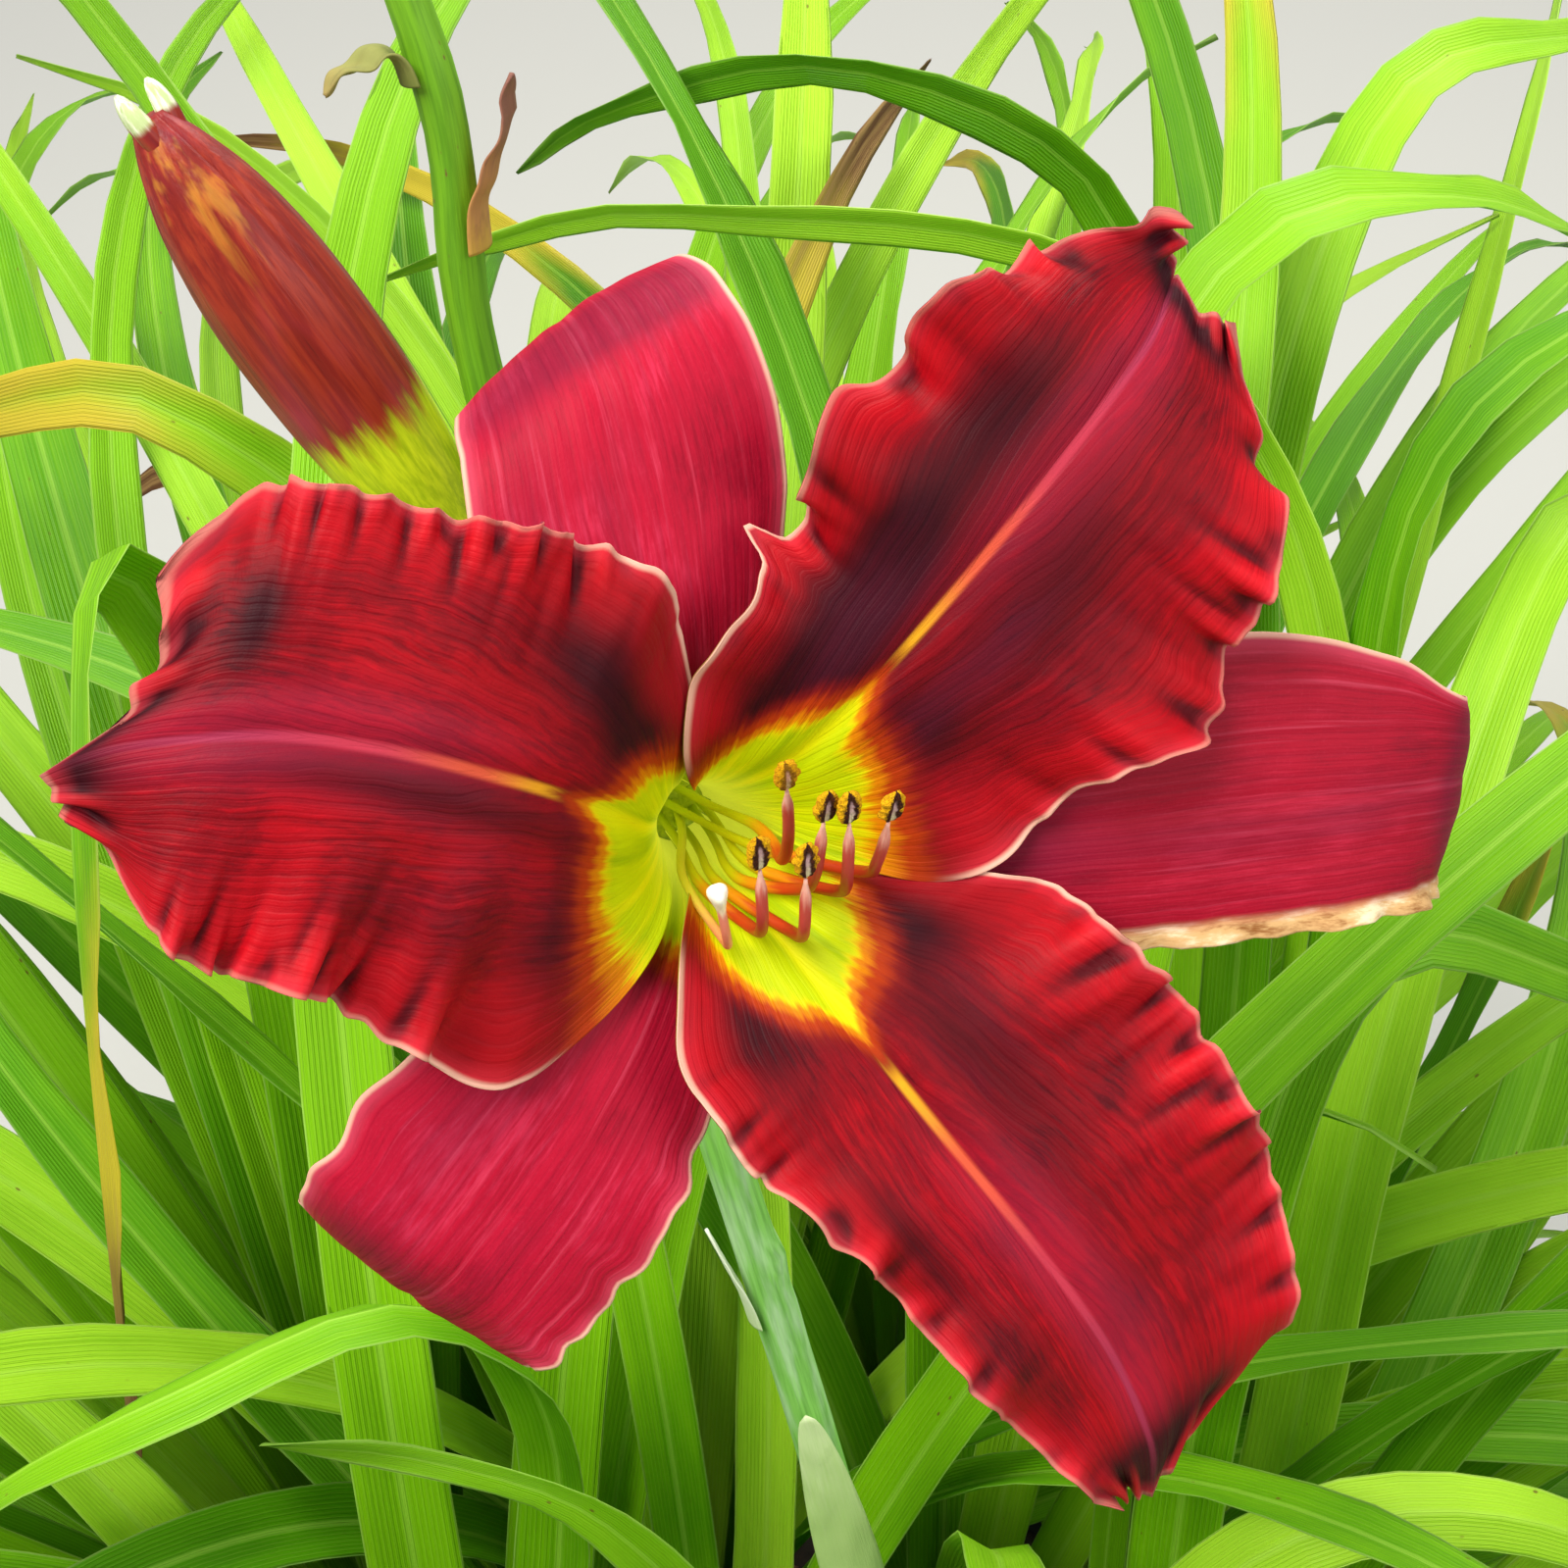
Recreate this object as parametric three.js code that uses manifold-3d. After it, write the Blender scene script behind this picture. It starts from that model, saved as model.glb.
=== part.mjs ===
// Daylily in flower: a clump of leaf fans with one scape, in soil in a plain nursery pot.
// Millimetres, +Z up. The origin is the centre of the pot's flat underside. The bloom faces -Y.

import * as THREE from 'three';
import { mergeVertices } from 'three/addons/utils/BufferGeometryUtils.js';
import Module from 'manifold-3d';

const wasm = await Module();
wasm.setup();

// ---------------------------------------------------------------- driving dimensions

const GAP = 0.3; // clearance where two pieces meet

const POT = {
  height: 222, topRadius: 140, baseRadius: 108, wall: 2.4, floor: 3,
  bandHeight: 26, bandOut: 3, lipHeight: 5, lipOut: 3, sides: 24,
  drains: 6, drainRadius: 6, drainRing: 72,
};
const SOIL = { level: 200, mound: 5, drop: 3 };
const HOLE_DEPTH = 34; // blind holes in the soil for the fans and the scape

// The scape's route, and its radius at the soil and at the tip
const SCAPE = {
  route: [
    [46, -76, SOIL.level - 30], [40, -70, 270], [29, -60, 370], [12, -45, 471], [2, -36, 519],
    [-8, -28, 563], [-20, -19, 614], [-30, -11, 659], [-38, -4, 698], [-38, -1, 713],
    [-39, 1, 726], [-42, 3, 737], [-46, 6, 756], [-49, 9, 780],
  ],
  rootRadius: 5.2, tipRadius: 2.3, sides: 8, steps: 24,
};
const FORK = [-30, -11, 659]; // where the stalks of the bloom and the large bud leave the scape

// The bloom's own frame: its foot is the throat's floor, its Z axis looks out of the throat
const BLOOM = { foot: [-13, -53, 670], heading: -72, rise: 33 };
const TUBE = { rootRadius: 3.4, waistRadius: 3.1, footRadius: 5.2, stalkShare: 0.36, steps: 14 };
const STALK = { radius: 2.4, sides: 8 };

// Tepals. Each row: share of the length, reach from the axis, height up the axis, azimuth,
// half width on the clockwise side, half width on the other side
const TEPAL_THICK = 0.7;
const TEPALS = [
  {
    name: 'petal_upper', bow: -0.05, skew: 0, notch: 4,
    wave: [3.2, 3.6], waves: [4.2, 5.0], phase: [0.4, 2.2],
    rows: [
      [0, 3.6, GAP, 44, 3.3, 3.3], [0.1, 4.6, 10, 44, 4.4, 4.4], [0.2, 7.5, 20, 44, 8.6, 8],
      [0.3, 13, 29, 44, 16.5, 12.5], [0.42, 23, 35, 43.5, 24, 17], [0.56, 37, 39, 43, 29, 19.5],
      [0.7, 51, 41, 42.5, 28.5, 21], [0.84, 66, 40, 42, 22.5, 18], [0.94, 76, 36, 42, 13.5, 9.5],
      [1, 81, 33, 42, 5, 4],
    ],
  },
  {
    name: 'petal_left', bow: -0.08, skew: 0, notch: -3,
    wave: [1.6, 2.4], waves: [5, 5.6], phase: [1.0, 2.6],
    rows: [
      [0, 3.6, GAP, 163, 3.3, 3.3], [0.1, 4.6, 10, 163, 4.4, 4.4], [0.2, 7.5, 21, 158, 8, 9.2],
      [0.3, 12.5, 31, 149, 13.5, 22], [0.42, 21, 38, 146, 21, 27], [0.56, 31.5, 43, 146.5, 26, 27.5],
      [0.7, 43, 46, 148, 27, 25.5], [0.84, 54.5, 46, 151, 24, 23], [0.94, 63, 43.5, 155, 16, 15.5],
      [1, 69, 40, 159, 5, 5],
    ],
  },
  {
    name: 'petal_lower', bow: 0, skew: 0, notch: -3,
    wave: [2.6, 2.4], waves: [5.4, 5.2], phase: [0.5, 3.4],
    rows: [
      [0, 3.6, GAP, 284, 3.3, 3.3], [0.1, 4.6, 10, 285, 4.4, 4.4], [0.2, 7.5, 20, 287, 8, 8.6],
      [0.3, 13, 28, 290, 13, 15], [0.42, 23, 34, 293, 17.5, 24.5], [0.56, 37, 38, 294.5, 18, 28.5],
      [0.7, 53, 39.5, 295.5, 16.5, 29.5], [0.84, 70, 38, 295.5, 14, 26.5], [0.94, 83, 35, 294, 10, 20],
      [1, 91, 31, 292, 4, 8],
    ],
  },
  {
    name: 'sepal_top', bow: -0.1, skew: -0.09, notch: 0,
    wave: [0.4, 0.4], waves: [2, 2], phase: [0, 1],
    rows: [
      [0, 4.75, GAP, 104, 4.3, 4.3], [0.1, 6.1, 10, 104, 5.4, 5.4], [0.2, 9.6, 19, 103, 8.6, 8.6],
      [0.3, 16, 25, 101, 12.5, 12.5], [0.42, 26, 28, 98, 16, 15.5], [0.56, 39, 28, 96, 18.5, 17],
      [0.7, 52, 25, 95, 17, 16], [0.84, 58, 15, 95, 14.5, 14], [0.94, 54, 5, 95, 11, 11],
      [1, 49, 1, 95, 6, 6],
    ],
  },
  {
    name: 'sepal_right', bow: -0.08, skew: 0.02, notch: 0,
    wave: [1.0, 0.5], waves: [3, 2], phase: [1, 0],
    rows: [
      [0, 4.75, GAP, 344, 4.3, 4.3], [0.1, 6.1, 10, 345, 5.4, 5.4], [0.2, 9.6, 19, 347, 8.6, 8.6],
      [0.3, 19, 26, 350, 12.5, 12.5], [0.42, 36, 29.5, 351.5, 15, 15.5],
      [0.56, 56, 30.5, 352.5, 16, 16.5], [0.7, 75, 30, 352.5, 15.5, 15.5], [0.84, 89, 25, 352, 14, 12],
      [0.94, 90.5, 15, 352, 11, 9], [1, 85, 9, 352, 7, 6],
    ],
  },
  {
    name: 'sepal_left', bow: -0.08, skew: 0.03, notch: 0,
    wave: [0.5, 1.2], waves: [2, 4.2], phase: [2, 0.6],
    rows: [
      [0, 4.75, GAP, 224, 4.3, 4.3], [0.1, 6.1, 10, 224, 5.4, 5.4], [0.2, 9.6, 19, 225, 8.6, 8.6],
      [0.3, 16, 25, 226, 12.5, 12.5], [0.42, 28, 28.5, 226, 15.5, 16], [0.56, 42, 28.5, 226, 19, 18],
      [0.7, 56, 25.5, 226, 19, 17], [0.84, 62, 15, 226, 16, 15], [0.94, 57, 5, 226, 12, 12],
      [1, 52, 1, 226, 6, 6],
    ],
  },
];
const PETAL_GRID = [22, 8];
const SEPAL_GRID = [13, 5];

// Stamens and style in the bloom's frame. They stand on a ring, spread to an arc along the lower
// side of the throat (bend is the azimuth there), hang to their lowest point and turn up to the tip
const FILAMENT = { ring: 2.3, radius: 0.5, tipRadius: 0.4, sides: 4, steps: 12 };
const THROAT = { waistHeight: 9.5, waistRadius: 3.3, arcHeight: 19, arcRadius: 5.8 };
const ANTHER = { length: 5.2, radius: 0.95, sides: 5, steps: 4 };
const STAMENS = [
  { foot: 90, bend: 352, low: [6, -3, 25], tip: [4.5, 8, 40] },
  { foot: 330, bend: 289, low: [6.5, -6, 28], tip: [7, 4.5, 43] },
  { foot: 30, bend: 310, low: [10, -6.5, 30], tip: [9.4, 4, 44] },
  { foot: 150, bend: 331, low: [13, -5, 30], tip: [13.8, 3, 43] },
  { foot: 210, bend: 247, low: [0.8, -9, 28], tip: [0, 0.6, 41] },
  { foot: 270, bend: 268, low: [4.6, -10, 29], tip: [4.6, -1.4, 41] },
];
const STYLE = { bend: 226, low: [-2.6, -9.4, 28], tip: [-4.6, -0.4, 40], radius: 0.5, stigmaRadius: 1.1 };

// Buds: foot, tip, greatest radius
const BUD = { foot: [-39.5, -11.5, 671.5], tip: [-74, 0, 729.5], radius: 8.7, sides: 10, steps: 10 };
const SMALL_BUDS = [
  { at: 0.985, foot: [-47, 2, 797], tip: [-45, -4, 826], radius: 4.6 },
  { at: 0.97, foot: [-58, 10, 788], tip: [-72, 11, 808], radius: 3.6 },
  { at: 0.94, foot: [-39, 12, 779], tip: [-30, 17, 795], radius: 3.0 },
];

// Fans of leaves: a ring of fans round the pot and three in the middle, with the leaves of each
const FANS = [
  ...[8, 12, 12, 12, 10, 7, 6].map((leaves, i) => ({ ring: 85, azimuth: 326.7 + i * 51.43, leaves })),
  ...[9, 9, 6].map((leaves, i) => ({ ring: 36, azimuth: 1 + i * 120, leaves })),
];
const FAN = { halfLong: 16, halfShort: 6, height: 60, sides: 8, bundle: 150 };
const LEAF = { keel: 1.6, steps: 8, samples: 44, tries: 800, cell: 4, seed: 20523 };

// Leaves placed by hand: fan, half width, and the way after the foot
const PLACED_LEAVES = [
  {
    fan: 2, half: 8.5,
    way: [[36, 84, 400], [46, 86, 560], [73, 99, 642], [116, 126, 640], [165, 168, 600], [240, 235, 520]],
  },
  {
    fan: 1, half: 7.5,
    way: [
      [100, 50, 400], [104, 84, 550], [62, 112, 628], [-17, 120, 640],
      [-50, 128, 630], [-80, 142, 610],
    ],
  },
  {
    fan: 2, half: 8,
    way: [
      [44, 110, 400], [66, 140, 560], [60, 152, 622], [11, 152, 650],
      [-34, 180, 625], [-56, 205, 596],
    ],
  },
  {
    fan: 1, half: 9,
    way: [[92, 60, 380], [90, 120, 540], [115, 178, 622], [163, 222, 618], [229, 300, 570]],
  },
  {
    fan: 1, half: 9,
    way: [[100, 34, 370], [108, 60, 500], [112, 92, 598], [150, 112, 628], [210, 160, 590]],
  },
  {
    fan: 0, half: 9.5,
    way: [[94, -20, 360], [110, 34, 510], [142, 100, 578], [174, 130, 560], [235, 165, 490]],
  },
  {
    fan: 0, half: 9,
    way: [[74, -40, 360], [76, -14, 480], [96, 20, 556], [140, 32, 540], [205, 58, 470]],
  },
  {
    fan: 0, half: 4.5,
    way: [[66, -30, 320], [68, 10, 450], [80, 20, 512], [96, 10, 528], [114, 4, 520]],
  },
  {
    fan: 0, half: 8.5,
    way: [[64, -52, 330], [58, -58, 440], [84, -58, 506], [135, -50, 490], [190, -50, 420]],
  },
  {
    fan: 6, half: 6.5,
    way: [[0, -66, 330], [-8, -54, 440], [-28, -54, 500], [-56, -53, 520], [-86, -44, 510]],
  },
  {
    fan: 5, half: 9,
    way: [
      [-52, -46, 360], [-40, -30, 480], [-56, -42, 546], [-92, -62, 552],
      [-130, -62, 518], [-175, -56, 450],
    ],
  },
  {
    fan: 4, half: 9.5,
    way: [
      [-90, 30, 400], [-98, 66, 540], [-116, 72, 602], [-116, 32, 588],
      [-118, 6, 530], [-122, -20, 440],
    ],
  },
  {
    fan: 3, half: 9,
    way: [[-48, 84, 400], [-58, 100, 540], [-104, 98, 612], [-150, 116, 600], [-215, 160, 545]],
  },
];

// ---------------------------------------------------------------- colours

const COLOURS = {
  pot: ['#26282a', 0.55], soil: ['#2e2118', 0.95], leaf: ['#76b82a', 0.45], scape: ['#6fa53c', 0.5],
  bract: ['#a5a06a', 0.8], dryBract: ['#8f5f4c', 0.85], stalk: ['#86b53c', 0.5], tube: ['#b9c82e', 0.5],
  petal: ['#9c1226', 0.6], sepal: ['#a81b34', 0.6], filament: ['#d8641e', 0.5], anther: ['#4a2a1c', 0.8],
  style: ['#d98a6a', 0.5], bud: ['#7c1d22', 0.5],
};

// ---------------------------------------------------------------- small helpers

const part = new THREE.Group();
const at = (p) => new THREE.Vector3(...p);
const radians = THREE.MathUtils.degToRad;
const smooth = THREE.MathUtils.smoothstep;

// Repeatable draws in 0..1
function randomStream(seed) {
  let state = seed >>> 0;
  return () => {
    state = (state + 0x6d2b79f5) >>> 0;
    let t = Math.imul(state ^ (state >>> 15), state | 1);
    t = (t + Math.imul(t ^ (t >>> 7), t | 61)) ^ t;
    return ((t ^ (t >>> 14)) >>> 0) / 4294967296;
  };
}

// Points at equal steps of length along a smooth curve through the given points
function evenly(points, steps, dense = 240) {
  const curve = new THREE.CatmullRomCurve3(points, false, 'catmullrom', 0.5);
  const fine = Array.from({ length: dense + 1 }, (_, i) => curve.getPoint(i / dense));
  const lengths = [0];
  for (let i = 1; i <= dense; i++) lengths.push(lengths[i - 1] + fine[i].distanceTo(fine[i - 1]));
  const out = [];
  let k = 0;
  for (let i = 0; i <= steps; i++) {
    const goal = (lengths[dense] * i) / steps;
    while (k < dense - 1 && lengths[k + 1] < goal) k++;
    const share = (goal - lengths[k]) / (lengths[k + 1] - lengths[k]);
    out.push(fine[k].clone().lerp(fine[k + 1], Math.min(Math.max(share, 0), 1)));
  }
  return out;
}

const pathLength = (path) => path.slice(1).reduce((sum, p, i) => sum + p.distanceTo(path[i]), 0);

// Direction, normal and side vector at each point of a path, carried along it without spin
function frames(path, firstNormal) {
  const normal = firstNormal.clone();
  return path.map((point, i) => {
    const ahead = path[Math.min(i + 1, path.length - 1)].clone().sub(path[Math.max(i - 1, 0)]).normalize();
    normal.addScaledVector(ahead, -normal.dot(ahead)).normalize();
    return { point, ahead, normal: normal.clone(), side: ahead.clone().cross(normal) };
  });
}

// A closed body through rings of points, each ring counter-clockwise about the direction of travel.
// The quads at the turned places of the ring are split along their other diagonal: with both faces of
// a thin blade split alike, the faces can't cross
function loft(rings, turned = []) {
  const n = rings[0].length;
  const positions = rings.flat().flatMap((p) => [p.x, p.y, p.z]);
  const index = [];
  for (let k = 0; k + 1 < rings.length; k++) {
    for (let j = 0; j < n; j++) {
      const a = k * n + j;
      const b = k * n + ((j + 1) % n);
      if (turned.includes(j)) index.push(a, b, a + n, b, b + n, a + n);
      else index.push(a, b, b + n, a, b + n, a + n);
    }
  }
  const last = (rings.length - 1) * n;
  for (let j = 1; j + 1 < n; j++) {
    index.push(0, j + 1, j);
    index.push(last, last + j, last + j + 1);
  }
  return closed(positions, index);
}

function closed(positions, index) {
  const geometry = new THREE.BufferGeometry();
  geometry.setAttribute('position', new THREE.Float32BufferAttribute(positions, 3));
  geometry.setIndex(index);
  return geometry;
}

// A round stem along a path; radius is a function of the share of the length
function stem(path, radius, sides, firstNormal = new THREE.Vector3(0, -1, 0)) {
  return loft(frames(path, firstNormal).map(({ point, normal, side }, i) => {
    const r = radius(i / (path.length - 1));
    return Array.from({ length: sides }, (_, j) => {
      const turn = (2 * Math.PI * j) / sides;
      const out = normal.clone().multiplyScalar(Math.cos(turn)).addScaledVector(side, Math.sin(turn));
      return point.clone().addScaledVector(out, r);
    });
  }));
}

// A three.js geometry as a solid for cutting and joining, and back
function solid(geometry) {
  const bare = geometry.clone();
  bare.deleteAttribute('normal');
  bare.deleteAttribute('uv');
  const merged = mergeVertices(bare, 1e-4);
  return new wasm.Manifold(new wasm.Mesh({
    numProp: 3,
    vertProperties: new Float32Array(merged.attributes.position.array),
    triVerts: new Uint32Array(merged.index.array),
  }));
}

function geometryOf(body) {
  const mesh = body.getMesh();
  return closed(Array.from(mesh.vertProperties), Array.from(mesh.triVerts));
}

// Bodies joined into one, with any hollow between them filled
function fuse(bodies) {
  const pieces = bodies.reduce((sum, body) => sum.add(body)).asOriginal().simplify(0.02).decompose();
  return pieces.reduce((most, piece) => (piece.volume() > most.volume() ? piece : most));
}

function add(name, shape, finish, parent = part) {
  const geometry = shape.isBufferGeometry ? shape : geometryOf(shape);
  const [color, roughness] = COLOURS[finish];
  const mesh = new THREE.Mesh(geometry, new THREE.MeshStandardMaterial({ color, roughness, metalness: 0 }));
  mesh.name = name;
  parent.add(mesh);
  return mesh;
}

// ---------------------------------------------------------------- pot and soil

function innerRadius(z) {
  return THREE.MathUtils.lerp(POT.baseRadius, POT.topRadius, z / POT.height) - POT.wall;
}

function makePot() {
  const top = POT.height;
  const band = top - POT.bandHeight;
  const outer = (z) => innerRadius(z) + POT.wall;
  const rim = outer(top) + POT.bandOut + POT.lipOut;
  const profile = [
    [0, 0], [POT.baseRadius - 4, 0], [POT.baseRadius, 4],
    [outer(band), band], [outer(band) + POT.bandOut, band + 2],
    [outer(top - POT.lipHeight) + POT.bandOut, top - POT.lipHeight],
    [rim, top - POT.lipHeight + 1], [rim, top],
    [innerRadius(top) + 1, top], [innerRadius(top - 3), top - 3],
    [innerRadius(POT.floor), POT.floor], [0, POT.floor],
  ].map(([r, z]) => new THREE.Vector2(r, z));
  let pot = solid(new THREE.LatheGeometry(profile, POT.sides).rotateX(Math.PI / 2));
  for (let i = 0; i < POT.drains; i++) {
    const turn = (2 * Math.PI * i) / POT.drains;
    const drain = new THREE.CylinderGeometry(POT.drainRadius, POT.drainRadius, 4 * POT.floor, 10);
    drain.rotateX(Math.PI / 2);
    drain.translate(POT.drainRing * Math.cos(turn), POT.drainRing * Math.sin(turn), 0);
    pot = pot.subtract(solid(drain));
  }
  add('pot', pot, 'pot');
}

function makeSoil(holes) {
  const low = POT.floor + GAP;
  const radius = (z) => innerRadius(z) - GAP - 0.1;
  const edge = SOIL.level - SOIL.drop;
  const profile = [
    [0, low], [radius(low), low], [radius(edge), edge], [radius(edge) * 0.82, SOIL.level],
    [radius(edge) * 0.45, SOIL.level + SOIL.mound], [0, SOIL.level + SOIL.mound],
  ].map(([r, z]) => new THREE.Vector2(r, z));
  let soil = solid(new THREE.LatheGeometry(profile, POT.sides).rotateX(Math.PI / 2));
  for (const hole of holes) soil = soil.subtract(hole);
  add('soil', soil, 'soil');
}

// ---------------------------------------------------------------- scape, stalks, tube

const scapePath = evenly(SCAPE.route.map(at), SCAPE.steps);
const scapeRadius = (share) => THREE.MathUtils.lerp(SCAPE.rootRadius, SCAPE.tipRadius, share ** 1.15);

function scapeBody(extra = 0) {
  const path = scapePath.map((p) => p.clone());
  const beyond = (end, before) => end.addScaledVector(end.clone().sub(before).normalize(), extra);
  beyond(path[0], path[1]);
  beyond(path.at(-1), path.at(-2));
  return solid(stem(path, (share) => scapeRadius(share) + extra, SCAPE.sides));
}

const bloomTurn = new THREE.Matrix4();
const bloomAxis = new THREE.Vector3(
  Math.cos(radians(BLOOM.rise)) * Math.cos(radians(BLOOM.heading)),
  Math.cos(radians(BLOOM.rise)) * Math.sin(radians(BLOOM.heading)),
  Math.sin(radians(BLOOM.rise)),
);
const bloomRight = new THREE.Vector3(-Math.sin(radians(BLOOM.heading)), Math.cos(radians(BLOOM.heading)), 0);
const bloomUp = bloomAxis.clone().cross(bloomRight);
bloomTurn.makeBasis(bloomRight, bloomUp, bloomAxis);

const bloom = new THREE.Group();
bloom.position.set(...BLOOM.foot);
bloom.quaternion.setFromRotationMatrix(bloomTurn);
part.add(bloom);
bloom.updateMatrixWorld(true);

// The stalk and the tube share one route from the fork to the throat's floor
function makeTube(scapeClear) {
  const foot = at(BLOOM.foot);
  const back = (distance) => foot.clone().addScaledVector(bloomAxis, -distance);
  const fork = at(FORK);
  const sag = fork.clone().lerp(back(24), 0.5).add(new THREE.Vector3(2, 0, -3));
  const route = [fork, sag, back(18), back(9), foot];
  const path = evenly(route, TUBE.steps);
  const cut = Math.round(TUBE.stalkShare * TUBE.steps);
  const stalkPath = path.slice(0, cut + 1);
  const tubePath = path.slice(cut);
  const aside = tubePath[1].clone().sub(tubePath[0]).normalize();
  tubePath[0] = tubePath[0].clone().addScaledVector(aside, 2 * GAP);
  const stalk = solid(stem(stalkPath, () => STALK.radius, STALK.sides));
  add('bloom_stalk', stalk.subtract(scapeClear), 'stalk');
  const radius = (share) => (share < 0.45
    ? THREE.MathUtils.lerp(TUBE.rootRadius, TUBE.waistRadius, Math.sin(share * Math.PI))
    : THREE.MathUtils.lerp(TUBE.waistRadius, TUBE.footRadius, smooth(share, 0.45, 1)));
  add('perianth_tube', stem(tubePath, radius, 10), 'tube');
}

// ---------------------------------------------------------------- petals and sepals

// Smooth value at x through rows of [x, value]
function along(rows, column, x) {
  let i = 0;
  while (i < rows.length - 2 && rows[i + 1][0] < x) i++;
  const slope = (k) => {
    const a = rows[Math.max(k - 1, 0)];
    const b = rows[Math.min(k + 1, rows.length - 1)];
    return (b[column] - a[column]) / (b[0] - a[0]);
  };
  const width = rows[i + 1][0] - rows[i][0];
  const t = (x - rows[i][0]) / width;
  const [p, q] = [rows[i][column], rows[i + 1][column]];
  const [m, n] = [slope(i) * width, slope(i + 1) * width];
  return p * (2 * t ** 3 - 3 * t ** 2 + 1) + m * (t ** 3 - 2 * t ** 2 + t)
    + q * (3 * t ** 2 - 2 * t ** 3) + n * (t ** 3 - t ** 2);
}

// Where a tepal's middle layer lies: t along it, u across it from -1 (clockwise side) to 1
function tepalPoint({ rows, bow, skew, notch, wave, waves, phase }, t, u) {
  const step = 1e-3;
  const [low, high] = [Math.max(t - step, 0), Math.min(t + step, 1)];
  const slope = (column) => along(rows, column, high) - along(rows, column, low);
  const tangent = new THREE.Vector2(slope(1), slope(2)).normalize();
  const side = u < 0 ? 0 : 1;
  const half = along(rows, 4, t) * (1 - smooth(u, -0.15, 0.15)) + along(rows, 5, t) * smooth(u, -0.15, 0.15);
  const across = u * half;
  const free = smooth(t, 0.12, 0.4);
  const ruffle = wave[side] * smooth(t, 0.26, 0.5) * Math.abs(u) ** 2.2;
  const lift = bow * u * u * half * free + ruffle * Math.sin(2 * Math.PI * waves[side] * t + phase[side]);
  const end = notch * (1 - Math.abs(u)) ** 2 * smooth(t, 0.86, 1);
  const r = Math.max(along(rows, 1, t) * (1 + skew * u * free) - end, 0.1);
  const turn = Math.atan2(across, r);
  const radius = THREE.MathUtils.lerp(r, Math.hypot(r, across), free);
  const azimuth = radians(along(rows, 3, t));
  const lean = azimuth + turn * (1 - free);
  return new THREE.Vector3(
    radius * Math.cos(azimuth + turn) - tangent.y * lift * Math.cos(lean),
    radius * Math.sin(azimuth + turn) - tangent.y * lift * Math.sin(lean),
    along(rows, 2, t) + tangent.x * lift,
  );
}

function tepalBody(tepal, [long, wide]) {
  const step = 2e-3;
  const layer = [[], []];
  for (let i = 0; i <= long; i++) {
    for (let j = 0; j <= wide; j++) {
      const t = i / long;
      const u = (2 * j) / wide - 1;
      const [back, ahead] = [Math.max(t - step, 0), Math.min(t + step, 1)];
      const [left, right] = [Math.max(u - step, -1), Math.min(u + step, 1)];
      const lengthwise = tepalPoint(tepal, ahead, u).sub(tepalPoint(tepal, back, u));
      const crosswise = tepalPoint(tepal, t, right).sub(tepalPoint(tepal, t, left));
      const normal = lengthwise.cross(crosswise).normalize();
      const middle = tepalPoint(tepal, t, u);
      layer[0].push(middle.clone().addScaledVector(normal, TEPAL_THICK / 2));
      layer[1].push(middle.clone().addScaledVector(normal, -TEPAL_THICK / 2));
    }
  }
  const count = layer[0].length;
  const index = [];
  const id = (i, j) => i * (wide + 1) + j;
  for (let i = 0; i < long; i++) {
    for (let j = 0; j < wide; j++) {
      const [a, b, c, d] = [id(i, j), id(i + 1, j), id(i + 1, j + 1), id(i, j + 1)];
      index.push(a, b, c, a, c, d);
      index.push(count + a, count + c, count + b, count + a, count + d, count + c);
    }
  }
  const rim = [];
  for (let i = 0; i < long; i++) rim.push([id(i, 0), id(i + 1, 0)]);
  for (let j = 0; j < wide; j++) rim.push([id(long, j), id(long, j + 1)]);
  for (let i = long; i > 0; i--) rim.push([id(i, wide), id(i - 1, wide)]);
  for (let j = wide; j > 0; j--) rim.push([id(0, j), id(0, j - 1)]);
  for (const [a, b] of rim) index.push(b, a, count + a, b, count + a, count + b);
  return closed(layer.flat().flatMap((p) => [p.x, p.y, p.z]), index);
}

// ---------------------------------------------------------------- stamens and style

const ringPoint = (radius, azimuth, height) => new THREE.Vector3(
  radius * Math.cos(radians(azimuth)), radius * Math.sin(radians(azimuth)), height,
);

function filamentPath(foot, { bend, low, tip }) {
  const arc = ringPoint(THROAT.arcRadius, bend, THROAT.arcHeight);
  const waist = foot.clone().lerp(arc, 0.35).setZ(0).clampLength(0, THROAT.waistRadius);
  const turnUp = at(low).lerp(at(tip), 0.45).add(new THREE.Vector3(0, 0.22 * low[1], 1.5));
  return evenly([foot, waist.setZ(THROAT.waistHeight), arc, at(low), turnUp, at(tip)], FILAMENT.steps, 120);
}

function antherBody(tip, ahead) {
  const end = tip.clone().addScaledVector(ahead, ANTHER.length);
  const start = tip.clone().addScaledVector(ahead, GAP);
  const path = evenly([start, start.clone().lerp(end, 0.5), end], ANTHER.steps, 40);
  const flat = new THREE.Vector3(1, 0.2, 0);
  return loft(frames(path, flat).map(({ point, normal, side }, i) => {
    const r = ANTHER.radius * Math.sqrt(Math.max(1 - ((2 * i) / ANTHER.steps - 1) ** 2, 0.12));
    return Array.from({ length: ANTHER.sides }, (_, j) => {
      const turn = (2 * Math.PI * j) / ANTHER.sides;
      return point.clone().addScaledVector(normal, 1.35 * r * Math.cos(turn))
        .addScaledVector(side, 0.8 * r * Math.sin(turn));
    });
  }));
}

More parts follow.
